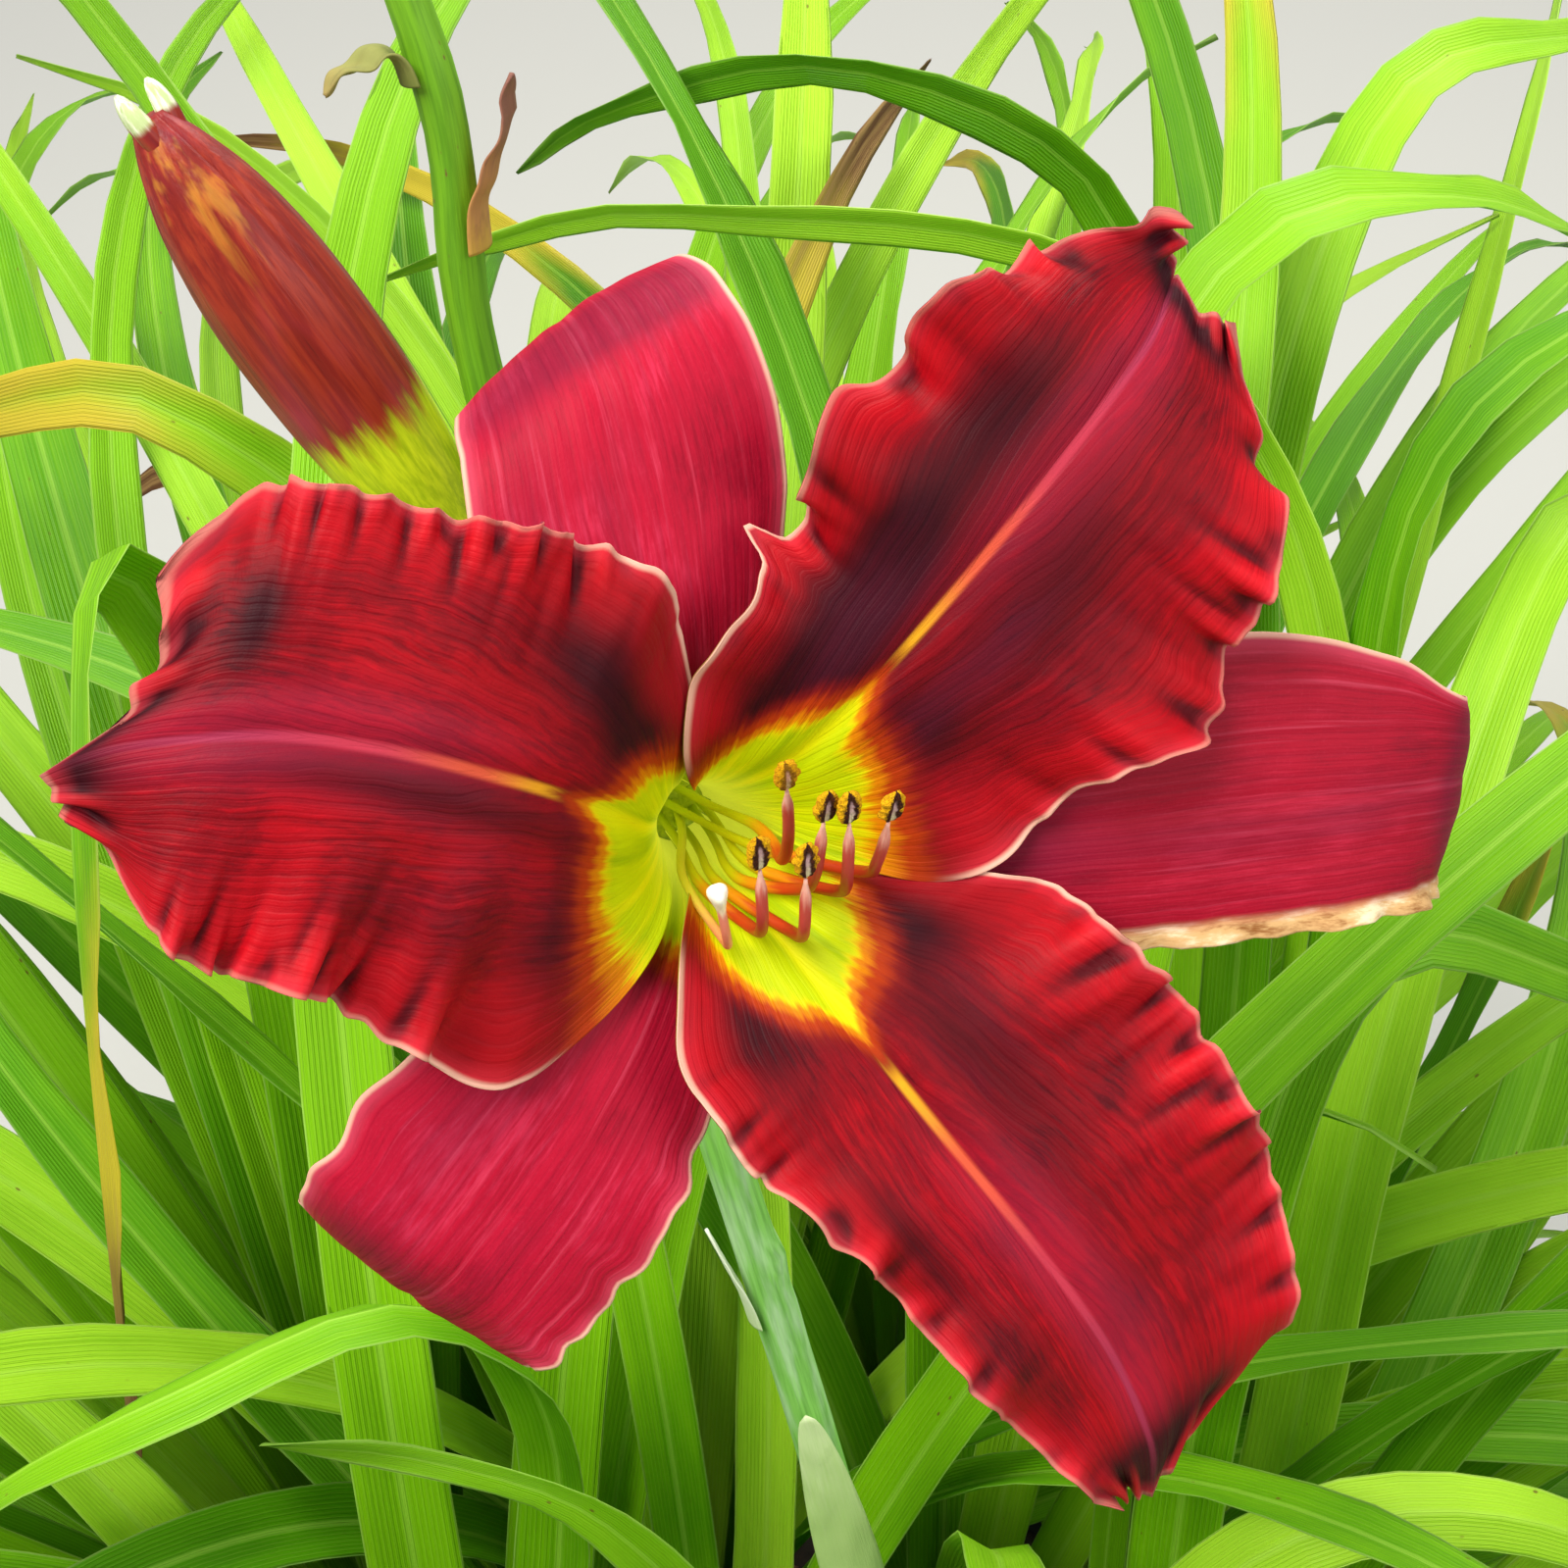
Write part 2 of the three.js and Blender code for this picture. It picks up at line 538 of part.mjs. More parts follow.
function makeStamens() {
  STAMENS.forEach((stamen, i) => {
    const path = filamentPath(ringPoint(FILAMENT.ring, stamen.foot, GAP), stamen);
    const radius = (share) => THREE.MathUtils.lerp(FILAMENT.radius, FILAMENT.tipRadius, share);
    add(`filament_${i + 1}`, stem(path, radius, FILAMENT.sides), 'filament', bloom);
    const ahead = path.at(-1).clone().sub(path.at(-2)).normalize();
    add(`anther_${i + 1}`, antherBody(path.at(-1), ahead), 'anther', bloom);
  });
  const path = filamentPath(new THREE.Vector3(0, 0, GAP), STYLE);
  const swell = (share) => THREE.MathUtils.lerp(STYLE.radius, STYLE.stigmaRadius, smooth(share, 0.92, 1));
  add('style', stem(path, swell, 6), 'style', bloom);
}

// ---------------------------------------------------------------- buds

function budBody(bud, sides, steps) {
  const [foot, tip] = [at(bud.foot), at(bud.tip)];
  const path = evenly([foot, foot.clone().lerp(tip, 0.5), tip], steps, 60);
  const rows = [
    [0, 0.38], [0.1, 0.6], [0.26, 0.88], [0.46, 1], [0.66, 0.98], [0.82, 0.8], [0.93, 0.52], [1, 0.26],
  ];
  return loft(frames(path, new THREE.Vector3(0, -1, 0)).map(({ point, normal, side }, i) => {
    const r = bud.radius * along(rows, 1, i / steps);
    return Array.from({ length: sides }, (_, j) => {
      const turn = (2 * Math.PI * j) / sides;
      const lobed = r * (1 + 0.05 * Math.cos(3 * turn));
      const out = normal.clone().multiplyScalar(Math.cos(turn)).addScaledVector(side, Math.sin(turn));
      return point.clone().addScaledVector(out, lobed);
    });
  }));
}

// Three short points at the bud's end, leaning apart
function budPoints(bud) {
  const [foot, tip] = [at(bud.foot), at(bud.tip)];
  const ahead = tip.clone().sub(foot).normalize();
  const { normal, side } = frames([foot, tip], new THREE.Vector3(0, -1, 0))[0];
  return [0, 1, 2].map((k) => {
    const turn = (2 * Math.PI * k) / 3;
    const out = normal.clone().multiplyScalar(Math.cos(turn)).addScaledVector(side, Math.sin(turn));
    const spot = (on, off) => tip.clone().addScaledVector(ahead, on * bud.radius)
      .addScaledVector(out, off * bud.radius);
    const [from, to] = [spot(-0.55, 0.16), spot(0.42, 0.3)];
    return solid(stem([from, from.clone().lerp(to, 0.5), to], (s) => bud.radius * (0.17 - 0.1 * s), 5));
  });
}

function makeBuds(scapeClear) {
  const foot = at(BUD.foot);
  const ahead = at(BUD.tip).sub(foot).normalize();
  const joint = foot.clone().addScaledVector(ahead, -3 * GAP);
  const stalk = evenly([at(FORK), at(FORK).lerp(joint, 0.5), joint], 6, 40);
  add('bud_stalk', solid(stem(stalk, () => STALK.radius, STALK.sides)).subtract(scapeClear), 'stalk');
  add('bud_large', fuse([solid(budBody(BUD, BUD.sides, BUD.steps)), ...budPoints(BUD)]), 'bud');
  SMALL_BUDS.forEach((bud, i) => {
    const root = scapePath[Math.round(bud.at * SCAPE.steps)];
    const path = evenly([root, at(bud.foot), at(bud.foot).lerp(at(bud.tip), 0.2)], 5, 40);
    const body = fuse([solid(stem(path, () => 1.3, 6)), solid(budBody(bud, 6, 6))]);
    add(`bud_small_${i + 1}`, body.subtract(scapeClear), 'bud');
  });
}

// ---------------------------------------------------------------- bracts on the scape

// A bract: a small blade folded round the scape at its foot, which follows the scape as it leans out
function bractBody({ share, length, half, out, lean, curl }) {
  const total = pathLength(scapePath);
  const steps = 6;
  const rings = [];
  let climb = 0;
  let away = scapeRadius(share) + 3 * GAP;
  const hug = away;
  for (let k = 0; k <= steps; k++) {
    const t = k / steps;
    const i = Math.min((share + climb / total) * SCAPE.steps, SCAPE.steps - 1e-6);
    const [a, b] = [scapePath[Math.floor(i)], scapePath[Math.floor(i) + 1]];
    const ahead = b.clone().sub(a).normalize();
    const outward = ringPoint(1, out, 0);
    outward.addScaledVector(ahead, -outward.dot(ahead)).normalize();
    const side = ahead.clone().cross(outward);
    const tilt = radians(lean) * smooth(t, 0.1, 0.5) + radians(curl) * t * t;
    const up = outward.clone().multiplyScalar(Math.cos(tilt)).addScaledVector(ahead, -Math.sin(tilt));
    const middle = a.clone().lerp(b, i - Math.floor(i)).addScaledVector(outward, away);
    climb += (length / steps) * Math.cos(tilt);
    away += (length / steps) * Math.sin(tilt);
    const w = half * Math.sqrt(Math.max(1 - t ** 1.6, 0)) + 0.25;
    const wrap = THREE.MathUtils.lerp(0.75 / hug, 0.02, smooth(t, 0, 0.8));
    const sheet = (x, off) => {
      const turn = x * w * wrap;
      return middle.clone().addScaledVector(side, Math.sin(turn) / wrap)
        .addScaledVector(up, off - (1 - Math.cos(turn)) / wrap);
    };
    const across = [-1, -0.5, 0, 0.5, 1];
    const lower = across.map((x) => sheet(x, -0.3));
    const upper = across.map((x) => sheet(x, 0.3)).reverse();
    rings.push([...lower, ...upper].reverse());
  }
  return loft(rings, [5, 6, 7, 8]);
}

// Each bract: its place on the scape, length, half width, the way it faces, and how it leans and curls
const BRACTS = [
  { name: 'bract_sheath', share: 0.46, length: 64, half: 6, out: -80, lean: 2, curl: 0 },
  { name: 'bract_low', share: 0.592, length: 22, half: 3.2, out: 200, lean: 8, curl: 0 },
  { name: 'bract_dry', share: 0.89, length: 21, half: 3.6, out: -10, lean: 28, curl: -8 },
  { name: 'bract_withered', share: 0.924, length: 13, half: 3, out: 205, lean: 94, curl: 14 },
];

// ---------------------------------------------------------------- leaves

// The space that is taken, in cells; a leaf keeps one cell clear of the leaves of other fans
const SPACE = { from: [-600.37, -600.61, 120.43], size: [300, 300, 200], shared: 255 };
const taken = new Uint8Array(SPACE.size[0] * SPACE.size[1] * SPACE.size[2]);

function cellOf(p) {
  return [p.x, p.y, p.z].map((value, k) => Math.floor((value - SPACE.from[k]) / LEAF.cell));
}

function slot([x, y, z]) {
  return (z * SPACE.size[1] + y) * SPACE.size[0] + x;
}

function claim(points, owner) {
  for (const p of points) {
    const [x, y, z] = cellOf(p);
    for (let k = 0; k < 27; k++) {
      const s = slot([x + (k % 3) - 1, y + (Math.floor(k / 3) % 3) - 1, z + Math.floor(k / 9) - 1]);
      if (taken[s] === 0) taken[s] = owner;
      else if (taken[s] !== owner) taken[s] = SPACE.shared;
    }
  }
}

const isClear = (points, owner) => points.every((p) => {
  const value = taken[slot(cellOf(p))];
  return value === 0 || value === owner;
});

function leafHalfWidth(half, t) {
  return half * (0.5 + 0.5 * smooth(t, 0, 0.34)) * Math.max(1 - t ** 3.2, 0) ** 0.8 + 0.35;
}

// The blade is folded along its keel, deeply at the foot and hardly at the tip
function leafFold(t) {
  const lower = THREE.MathUtils.lerp(48, 20, smooth(t, 0, 0.35));
  return radians(THREE.MathUtils.lerp(lower, 8, t));
}

// The blade's frames: carried along its route, then turned by the twist
function leafFrames(path, inward, twist) {
  return frames(path, inward).map((frame, i) => {
    const t = i / (path.length - 1);
    const turn = radians(twist) * t * t;
    const normal = frame.normal.clone().multiplyScalar(Math.cos(turn));
    normal.addScaledVector(frame.side, Math.sin(turn));
    return { ...frame, t, normal, side: frame.ahead.clone().cross(normal) };
  });
}

function leafPoint({ point, normal, side, t }, half, x) {
  const w = leafHalfWidth(half, t);
  const fold = leafFold(t);
  return point.clone().addScaledVector(side, x * w * Math.cos(fold))
    .addScaledVector(normal, Math.abs(x) * w * Math.sin(fold));
}

function leafBody(leaf) {
  const path = evenly(leaf.path, LEAF.steps);
  return loft(leafFrames(path, leaf.inward, leaf.twist).map((frame) => {
    const keel = frame.point.clone().addScaledVector(frame.normal, -LEAF.keel * (1 - 0.45 * frame.t));
    return [keel, ...[-1, 0, 1].map((x) => leafPoint(frame, leaf.half, x))];
  }), [1, 3]);
}

function leafSamples(leaf) {
  const path = evenly(leaf.path, Math.ceil(leaf.length / LEAF.cell));
  const across = [-1, -0.66, -0.33, 0, 0.33, 0.66, 1];
  const places = leafFrames(path, leaf.inward, leaf.twist);
  return places.flatMap((frame) => across.map((x) => leafPoint(frame, leaf.half, x)));
}

// A leaf's route from its foot: it rises steeply, arches over and swings to one side
function archRoute(foot, heading, rise, droop, bend, swing, length) {
  const pieces = 12;
  const route = [foot];
  for (let i = 0; i < pieces; i++) {
    const s = (i + 0.5) / pieces;
    const slope = radians(rise - droop * s ** bend);
    const turn = radians(heading + swing * s * s);
    const level = new THREE.Vector3(Math.cos(turn), Math.sin(turn), 0);
    const way = level.multiplyScalar(Math.cos(slope)).setZ(Math.sin(slope));
    route.push(route[i].clone().addScaledVector(way, length / pieces));
  }
  return route;
}

// Leaves stay over the soil near the pot, above the floor, and under the bloom
function inBounds(points) {
  return points.every((p) => {
    const out = Math.hypot(p.x, p.y);
    if (out < POT.topRadius + 12 && p.z < SOIL.level + (out > 90 ? 45 : 6)) return false;
    return p.z > 150 && out < 560 && p.z < 690;
  });
}

function makeFans() {
  const fans = FANS.map(({ ring, azimuth, leaves }, i) => {
    const turn = radians(azimuth);
    return {
      owner: i + 1,
      centre: new THREE.Vector3(ring * Math.cos(turn), ring * Math.sin(turn), SOIL.level),
      plane: azimuth + 90 + 25 * (i % 3 - 1),
      outward: azimuth,
      spread: ring > 50 ? 100 : 140,
      count: leaves,
      leaves: [],
    };
  });
  const footOf = (fan, along1) => {
    const turn = radians(fan.plane);
    return fan.centre.clone().add(new THREE.Vector3(Math.cos(turn) * along1, Math.sin(turn) * along1, 18));
  };
  // Within its bundle a leaf lies against the others of its fan; above, it keeps clear of all
  const bundleTop = SOIL.level + FAN.bundle;
  const keep = (fan, leaf) => {
    fan.leaves.push(leaf);
    claim(leaf.samples.filter((p) => p.z <= bundleTop), fan.owner);
    claim(leaf.samples.filter((p) => p.z > bundleTop), SPACE.shared);
  };
  const aboveFoot = (leaf) => leafSamples(leaf).filter((p) => p.z > SOIL.level + FAN.height);
  PLACED_LEAVES.forEach(({ fan: number, half, way }) => {
    const fan = fans[number];
    const first = at(way[0]).sub(fan.centre).setZ(0).normalize();
    const path = evenly([footOf(fan, 0), ...way.map(at)], LEAF.samples);
    const leaf = { path, half, inward: first.negate(), twist: 0, length: pathLength(path) };
    leaf.samples = aboveFoot(leaf);
    keep(fan, leaf);
  });
  const draw = randomStream(LEAF.seed);
  const between = (a, b) => a + (b - a) * draw();
  const most = Math.max(...FANS.map(({ leaves }) => leaves));
  for (let row = 0; row < most; row++) {
    for (const fan of fans.filter(({ count }) => row < count)) {
      const outer = 1 - row / (fan.count - 1);
      const way = row % 2 ? 1 : -1;
      for (let k = 0; k < LEAF.tries; k++) {
        const heading = fan.outward + way * between(5, fan.spread);
        const length = between(430, 600);
        const foot = footOf(fan, way * (1 + 13 * outer));
        const rise = 87 - 13 * outer + between(-2, 1);
        const droop = between(88, 128) + 15 * outer;
        const route = archRoute(foot, heading, rise, droop, between(1.2, 2.0), between(-70, 70), length);
        const path = evenly(route, LEAF.samples);
        const inward = new THREE.Vector3(-Math.cos(radians(heading)), -Math.sin(radians(heading)), 0);
        const leaf = { path, half: between(7.5, 10.5), inward, twist: between(-60, 60), length };
        leaf.samples = aboveFoot(leaf);
        if (!inBounds(leaf.samples) || !isClear(leaf.samples, fan.owner)) continue;
        keep(fan, leaf);
        break;
      }
    }
  }
  return fans;
}

// A fan's foot: the flat bundle of leaf bases, in its hole in the soil
function fanFoot(fan, extra = 0) {
  const rows = [[-HOLE_DEPTH, 0.82], [0, 0.95], [14, 1], [0.5 * FAN.height, 0.8], [FAN.height, 0.35]];
  const turn = radians(fan.plane);
  const long = new THREE.Vector3(Math.cos(turn), Math.sin(turn), 0);
  const short = new THREE.Vector3(-Math.sin(turn), Math.cos(turn), 0);
  return solid(loft(rows.map(([height, size]) => Array.from({ length: FAN.sides }, (_, j) => {
    const a = (2 * Math.PI * j) / FAN.sides;
    return fan.centre.clone().add(new THREE.Vector3(0, 0, height + (height < 0 ? -extra : 0)))
      .addScaledVector(long, (FAN.halfLong * size + extra) * Math.cos(a))
      .addScaledVector(short, (FAN.halfShort * size + extra) * Math.sin(a));
  }))));
}

// ---------------------------------------------------------------- assembly

const scape = scapeBody();
const scapeClear = scapeBody(GAP);
add('scape', scape, 'scape');
makeTube(scapeClear);
TEPALS.forEach((tepal) => {
  const petal = tepal.name.startsWith('petal');
  add(tepal.name, tepalBody(tepal, petal ? PETAL_GRID : SEPAL_GRID), petal ? 'petal' : 'sepal', bloom);
});
makeStamens();
makeBuds(scapeClear);
for (const bract of BRACTS) {
  add(bract.name, bractBody(bract), bract.name === 'bract_dry' ? 'dryBract' : 'bract');
}

// What the leaves keep clear of: the scape, the bud and the bloom, and the open air before them
const OPEN_SIDE = new THREE.Vector3(0, -Math.SQRT1_2, Math.SQRT1_2);
function keepOpen(points, before) {
  const swept = points.flatMap((p) => {
    const steps = Math.ceil(before / LEAF.cell);
    return Array.from({ length: steps + 1 }, (_, i) => p.clone().addScaledVector(OPEN_SIDE, i * LEAF.cell));
  });
  claim(swept, SPACE.shared);
}
const halfway = SCAPE.steps / 2;
const besideScape = (path) => evenly(path, 80).flatMap((p) => [0, 60, 120, 180, 240, 300]
  .map((azimuth) => p.clone().add(ringPoint(SCAPE.rootRadius, azimuth, 0))));
keepOpen(besideScape(scapePath.slice(0, halfway + 1)), 0);
keepOpen(besideScape(scapePath.slice(halfway - 1)), 120);
keepOpen(evenly([at(BUD.foot), at(BUD.foot).lerp(at(BUD.tip), 0.5), at(BUD.tip)], 20), 120);
TEPALS.forEach((tepal) => {
  const spots = [];
  for (let t = 0.1; t <= 1; t += 0.04) {
    for (let u = -1; u <= 1; u += 0.1) spots.push(bloom.localToWorld(tepalPoint(tepal, t, u)));
  }
  keepOpen(spots, 200);
});

const fans = makeFans();
for (const fan of fans) {
  const leaves = fan.leaves.map((leaf) => solid(leafBody(leaf)));
  add(`fan_${fan.owner}`, fuse([fanFoot(fan), ...leaves]), 'leaf');
}

makePot();
makeSoil([scapeClear, ...fans.map((fan) => fanFoot(fan, GAP))]);

export default part;
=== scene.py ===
"""Daylily in flower, in soil in a plain nursery pot: the looks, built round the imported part.

The part's own millimetres are used throughout, and a mesh is turned into metres as it is made.
"""

import math

import bmesh
import bpy
import numpy as np
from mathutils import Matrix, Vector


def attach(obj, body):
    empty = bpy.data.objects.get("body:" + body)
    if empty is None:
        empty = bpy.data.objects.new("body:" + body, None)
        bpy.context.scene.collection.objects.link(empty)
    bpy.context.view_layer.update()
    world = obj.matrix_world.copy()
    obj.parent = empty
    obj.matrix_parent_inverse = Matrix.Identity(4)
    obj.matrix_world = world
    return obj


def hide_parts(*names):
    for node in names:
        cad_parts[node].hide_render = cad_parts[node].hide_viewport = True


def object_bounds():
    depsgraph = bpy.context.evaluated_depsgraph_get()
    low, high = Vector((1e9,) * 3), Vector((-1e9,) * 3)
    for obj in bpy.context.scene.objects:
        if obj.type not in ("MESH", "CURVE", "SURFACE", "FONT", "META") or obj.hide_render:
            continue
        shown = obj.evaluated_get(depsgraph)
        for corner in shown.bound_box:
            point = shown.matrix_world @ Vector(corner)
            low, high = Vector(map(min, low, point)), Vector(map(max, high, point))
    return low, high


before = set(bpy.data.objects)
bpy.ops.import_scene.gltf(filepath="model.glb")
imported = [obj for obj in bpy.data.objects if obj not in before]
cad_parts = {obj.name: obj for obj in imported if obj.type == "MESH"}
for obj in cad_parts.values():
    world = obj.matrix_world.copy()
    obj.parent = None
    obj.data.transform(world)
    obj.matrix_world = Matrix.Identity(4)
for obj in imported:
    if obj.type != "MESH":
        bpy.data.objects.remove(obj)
cad_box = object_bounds()

MM = 0.001
PI = math.pi


# ---------------------------------------------------------------- driving dimensions

GAP = 0.3
POT = dict(height=222, top=140, base=108, wall=2.4, floor=3, band=26, band_out=3, lip=5, lip_out=3,
           drains=6, drain_radius=6, drain_ring=72)
SOIL = dict(level=200, mound=5, drop=3)

SCAPE_ROUTE = [
    [46, -76, 170], [40, -70, 270], [29, -60, 370], [12, -45, 471], [2, -36, 519], [-8, -28, 563],
    [-20, -19, 614], [-30, -11, 659], [-38, -4, 698], [-38, -1, 713], [-39, 1, 726], [-42, 3, 737],
    [-46, 6, 756], [-49, 9, 780],
]
SCAPE_STEPS = 24
SCAPE_RADII = (5.2, 2.3)
FORK = [-30, -11, 659]

BLOOM_FOOT = [-13, -53, 670]
BLOOM_HEADING, BLOOM_RISE = -72, 33
TUBE = dict(root=3.4, waist=3.1, foot=5.2, stalk_share=0.36, steps=14)
STALK_RADIUS = 2.4

# Tepals. Each row: share of the length, reach from the axis, height up the axis, azimuth, and the half
# widths on the clockwise side and on the other side
TEPAL_THICK = 0.7
TEPALS = {
    "petal_upper": dict(
        bow=-0.05, skew=0, notch=4, wave=(3.2, 3.6), waves=(4.2, 5.0), phase=(0.4, 2.2),
        rows=[
            [0, 3.6, GAP, 44, 3.3, 3.3], [0.1, 4.6, 10, 44, 4.4, 4.4], [0.2, 7.5, 20, 44, 8.6, 8],
            [0.3, 13, 29, 44, 16.5, 12.5], [0.42, 23, 35, 43.5, 24, 17], [0.56, 37, 39, 43, 29, 19.5],
            [0.7, 51, 41, 42.5, 28.5, 21], [0.84, 66, 40, 42, 22.5, 18], [0.94, 76, 36, 42, 13.5, 9.5],
            [1, 81, 33, 42, 5, 4],
        ]),
    "petal_left": dict(
        bow=-0.08, skew=0, notch=-3, wave=(1.6, 2.4), waves=(5, 5.6), phase=(1.0, 2.6),
        rows=[
            [0, 3.6, GAP, 163, 3.3, 3.3], [0.1, 4.6, 10, 163, 4.4, 4.4], [0.2, 7.5, 21, 158, 8, 9.2],
            [0.3, 12.5, 31, 149, 13.5, 22], [0.42, 21, 38, 146, 21, 27],
            [0.56, 31.5, 43, 146.5, 26, 27.5], [0.7, 43, 46, 148, 27, 25.5],
            [0.84, 54.5, 46, 151, 24, 23], [0.94, 63, 43.5, 155, 16, 15.5], [1, 69, 40, 159, 5, 5],
        ]),
    "petal_lower": dict(
        bow=0, skew=0, notch=-3, wave=(2.6, 2.4), waves=(5.4, 5.2), phase=(0.5, 3.4),
        rows=[
            [0, 3.6, GAP, 284, 3.3, 3.3], [0.1, 4.6, 10, 285, 4.4, 4.4], [0.2, 7.5, 20, 287, 8, 8.6],
            [0.3, 13, 28, 290, 13, 15], [0.42, 23, 34, 293, 17.5, 24.5],
            [0.56, 37, 38, 294.5, 18, 28.5], [0.7, 53, 39.5, 295.5, 16.5, 29.5],
            [0.84, 70, 38, 295.5, 14, 26.5], [0.94, 83, 35, 294, 10, 20], [1, 91, 31, 292, 4, 8],
        ]),
    "sepal_top": dict(
        bow=-0.1, skew=-0.09, notch=0, wave=(0.4, 0.4), waves=(2, 2), phase=(0, 1),
        rows=[
            [0, 4.75, GAP, 104, 4.3, 4.3], [0.1, 6.1, 10, 104, 5.4, 5.4],
            [0.2, 9.6, 19, 103, 8.6, 8.6], [0.3, 16, 25, 101, 12.5, 12.5],
            [0.42, 26, 28, 98, 16, 15.5], [0.56, 39, 28, 96, 18.5, 17], [0.7, 52, 25, 95, 17, 16],
            [0.84, 58, 15, 95, 14.5, 14], [0.94, 54, 5, 95, 11, 11], [1, 49, 1, 95, 6, 6],
        ]),
    "sepal_right": dict(
        bow=-0.08, skew=0.02, notch=0, wave=(1.0, 0.5), waves=(3, 2), phase=(1, 0),
        rows=[
            [0, 4.75, GAP, 344, 4.3, 4.3], [0.1, 6.1, 10, 345, 5.4, 5.4],
            [0.2, 9.6, 19, 347, 8.6, 8.6], [0.3, 19, 26, 350, 12.5, 12.5],
            [0.42, 36, 29.5, 351.5, 15, 15.5], [0.56, 56, 30.5, 352.5, 16, 16.5],
            [0.7, 75, 30, 352.5, 15.5, 15.5], [0.84, 89, 25, 352, 14, 12],
            [0.94, 90.5, 15, 352, 11, 9], [1, 85, 9, 352, 7, 6],
        ]),
    "sepal_left": dict(
        bow=-0.08, skew=0.03, notch=0, wave=(0.5, 1.2), waves=(2, 4.2), phase=(2, 0.6),
        rows=[
            [0, 4.75, GAP, 224, 4.3, 4.3], [0.1, 6.1, 10, 224, 5.4, 5.4],
            [0.2, 9.6, 19, 225, 8.6, 8.6], [0.3, 16, 25, 226, 12.5, 12.5],
            [0.42, 28, 28.5, 226, 15.5, 16], [0.56, 42, 28.5, 226, 19, 18],
            [0.7, 56, 25.5, 226, 19, 17], [0.84, 62, 15, 226, 16, 15], [0.94, 57, 5, 226, 12, 12],
            [1, 52, 1, 226, 6, 6],
        ]),
}

FILAMENT = dict(ring=2.3, radius=0.5, tip=0.4, steps=12)
THROAT = dict(waist_height=9.5, waist_radius=3.3, arc_height=19, arc_radius=5.8)
ANTHER = dict(length=5.2, radius=0.95)
STAMENS = [
    dict(foot=90, bend=352, low=[6, -3, 25], tip=[4.5, 8, 40]),
    dict(foot=330, bend=289, low=[6.5, -6, 28], tip=[7, 4.5, 43]),
    dict(foot=30, bend=310, low=[10, -6.5, 30], tip=[9.4, 4, 44]),
    dict(foot=150, bend=331, low=[13, -5, 30], tip=[13.8, 3, 43]),
    dict(foot=210, bend=247, low=[0.8, -9, 28], tip=[0, 0.6, 41]),
    dict(foot=270, bend=268, low=[4.6, -10, 29], tip=[4.6, -1.4, 41]),
]
STYLE = dict(bend=226, low=[-2.6, -9.4, 28], tip=[-4.6, -0.4, 40], radius=0.5, stigma=1.1)

BUD = dict(foot=[-39.5, -11.5, 671.5], tip=[-74, 0, 729.5], radius=8.7)
SMALL_BUDS = [
    dict(at=0.985, foot=[-47, 2, 797], tip=[-45, -4, 826], radius=4.6),
    dict(at=0.97, foot=[-58, 10, 788], tip=[-72, 11, 808], radius=3.6),
    dict(at=0.94, foot=[-39, 12, 779], tip=[-30, 17, 795], radius=3.0),
]
BUD_ROWS = [
    [0, 0.38], [0.1, 0.6], [0.26, 0.88], [0.46, 1], [0.66, 0.98], [0.82, 0.8], [0.93, 0.52], [1, 0.26],
]

BRACTS = {
    "bract_sheath": dict(share=0.46, length=64, half=6, out=-80, lean=2, curl=0),
    "bract_low": dict(share=0.592, length=22, half=3.2, out=200, lean=8, curl=0),
    "bract_dry": dict(share=0.89, length=21, half=3.6, out=-10, lean=28, curl=-8),
    "bract_withered": dict(share=0.924, length=13, half=3, out=205, lean=94, curl=14),
}

FANS = [dict(ring=85, azimuth=326.7 + i * 51.43, leaves=n) for i, n in enumerate([8, 12, 12, 12, 10, 7, 6])]
FANS += [dict(ring=36, azimuth=1 + i * 120, leaves=n) for i, n in enumerate([9, 9, 6])]
FAN = dict(half_long=16, half_short=6, height=60, bundle=150, reach=(1, 14), leaf_foot=18)
HOLE_DEPTH = 34

# How leaves grow from their seeded draws, in which each pair is the range of a draw. Out to a fan's
# outermost leaf, the rise changes by outer_rise and the droop by outer_droop. out and top are how far
# a leaf may go from the pot's axis and above the floor
LEAF = dict(keel=1.6, samples=44, tries=800, cell=4, seed=20523, length=(430, 600), half=(7.5, 10.5),
            twist=(-60, 60), swing=(-70, 70), bend=(1.2, 2), rise=87, rise_change=(-2, 1), outer_rise=-13,
            droop=(88, 128), outer_droop=15, side=5, out=560, top=690)
SPACE_FROM = np.array([-600.37, -600.61, 120.43])
SPACE_SIZE = (300, 300, 200)
SHARED = 255

# Leaves that only the looks have: how many for each fan, and how far they stay within the part's box.
# Of all that fit, the one that fills most bare cells of the picture is taken
FILLERS = dict(each=25, tries=480, inset=1, seed=77, cells=44, length=(230, 640), half=(5.5, 9.5),
               twist=(-70, 70), swing=(-80, 80), bend=(1.1, 2.1), rise=(76, 89), droop=(62, 155), top=725,
               along_fan=(-12, 12))


# What is kept free of leaves before the bloom and before the scape and the large bud
OPEN_AIR = dict(bloom=200, scape=120)

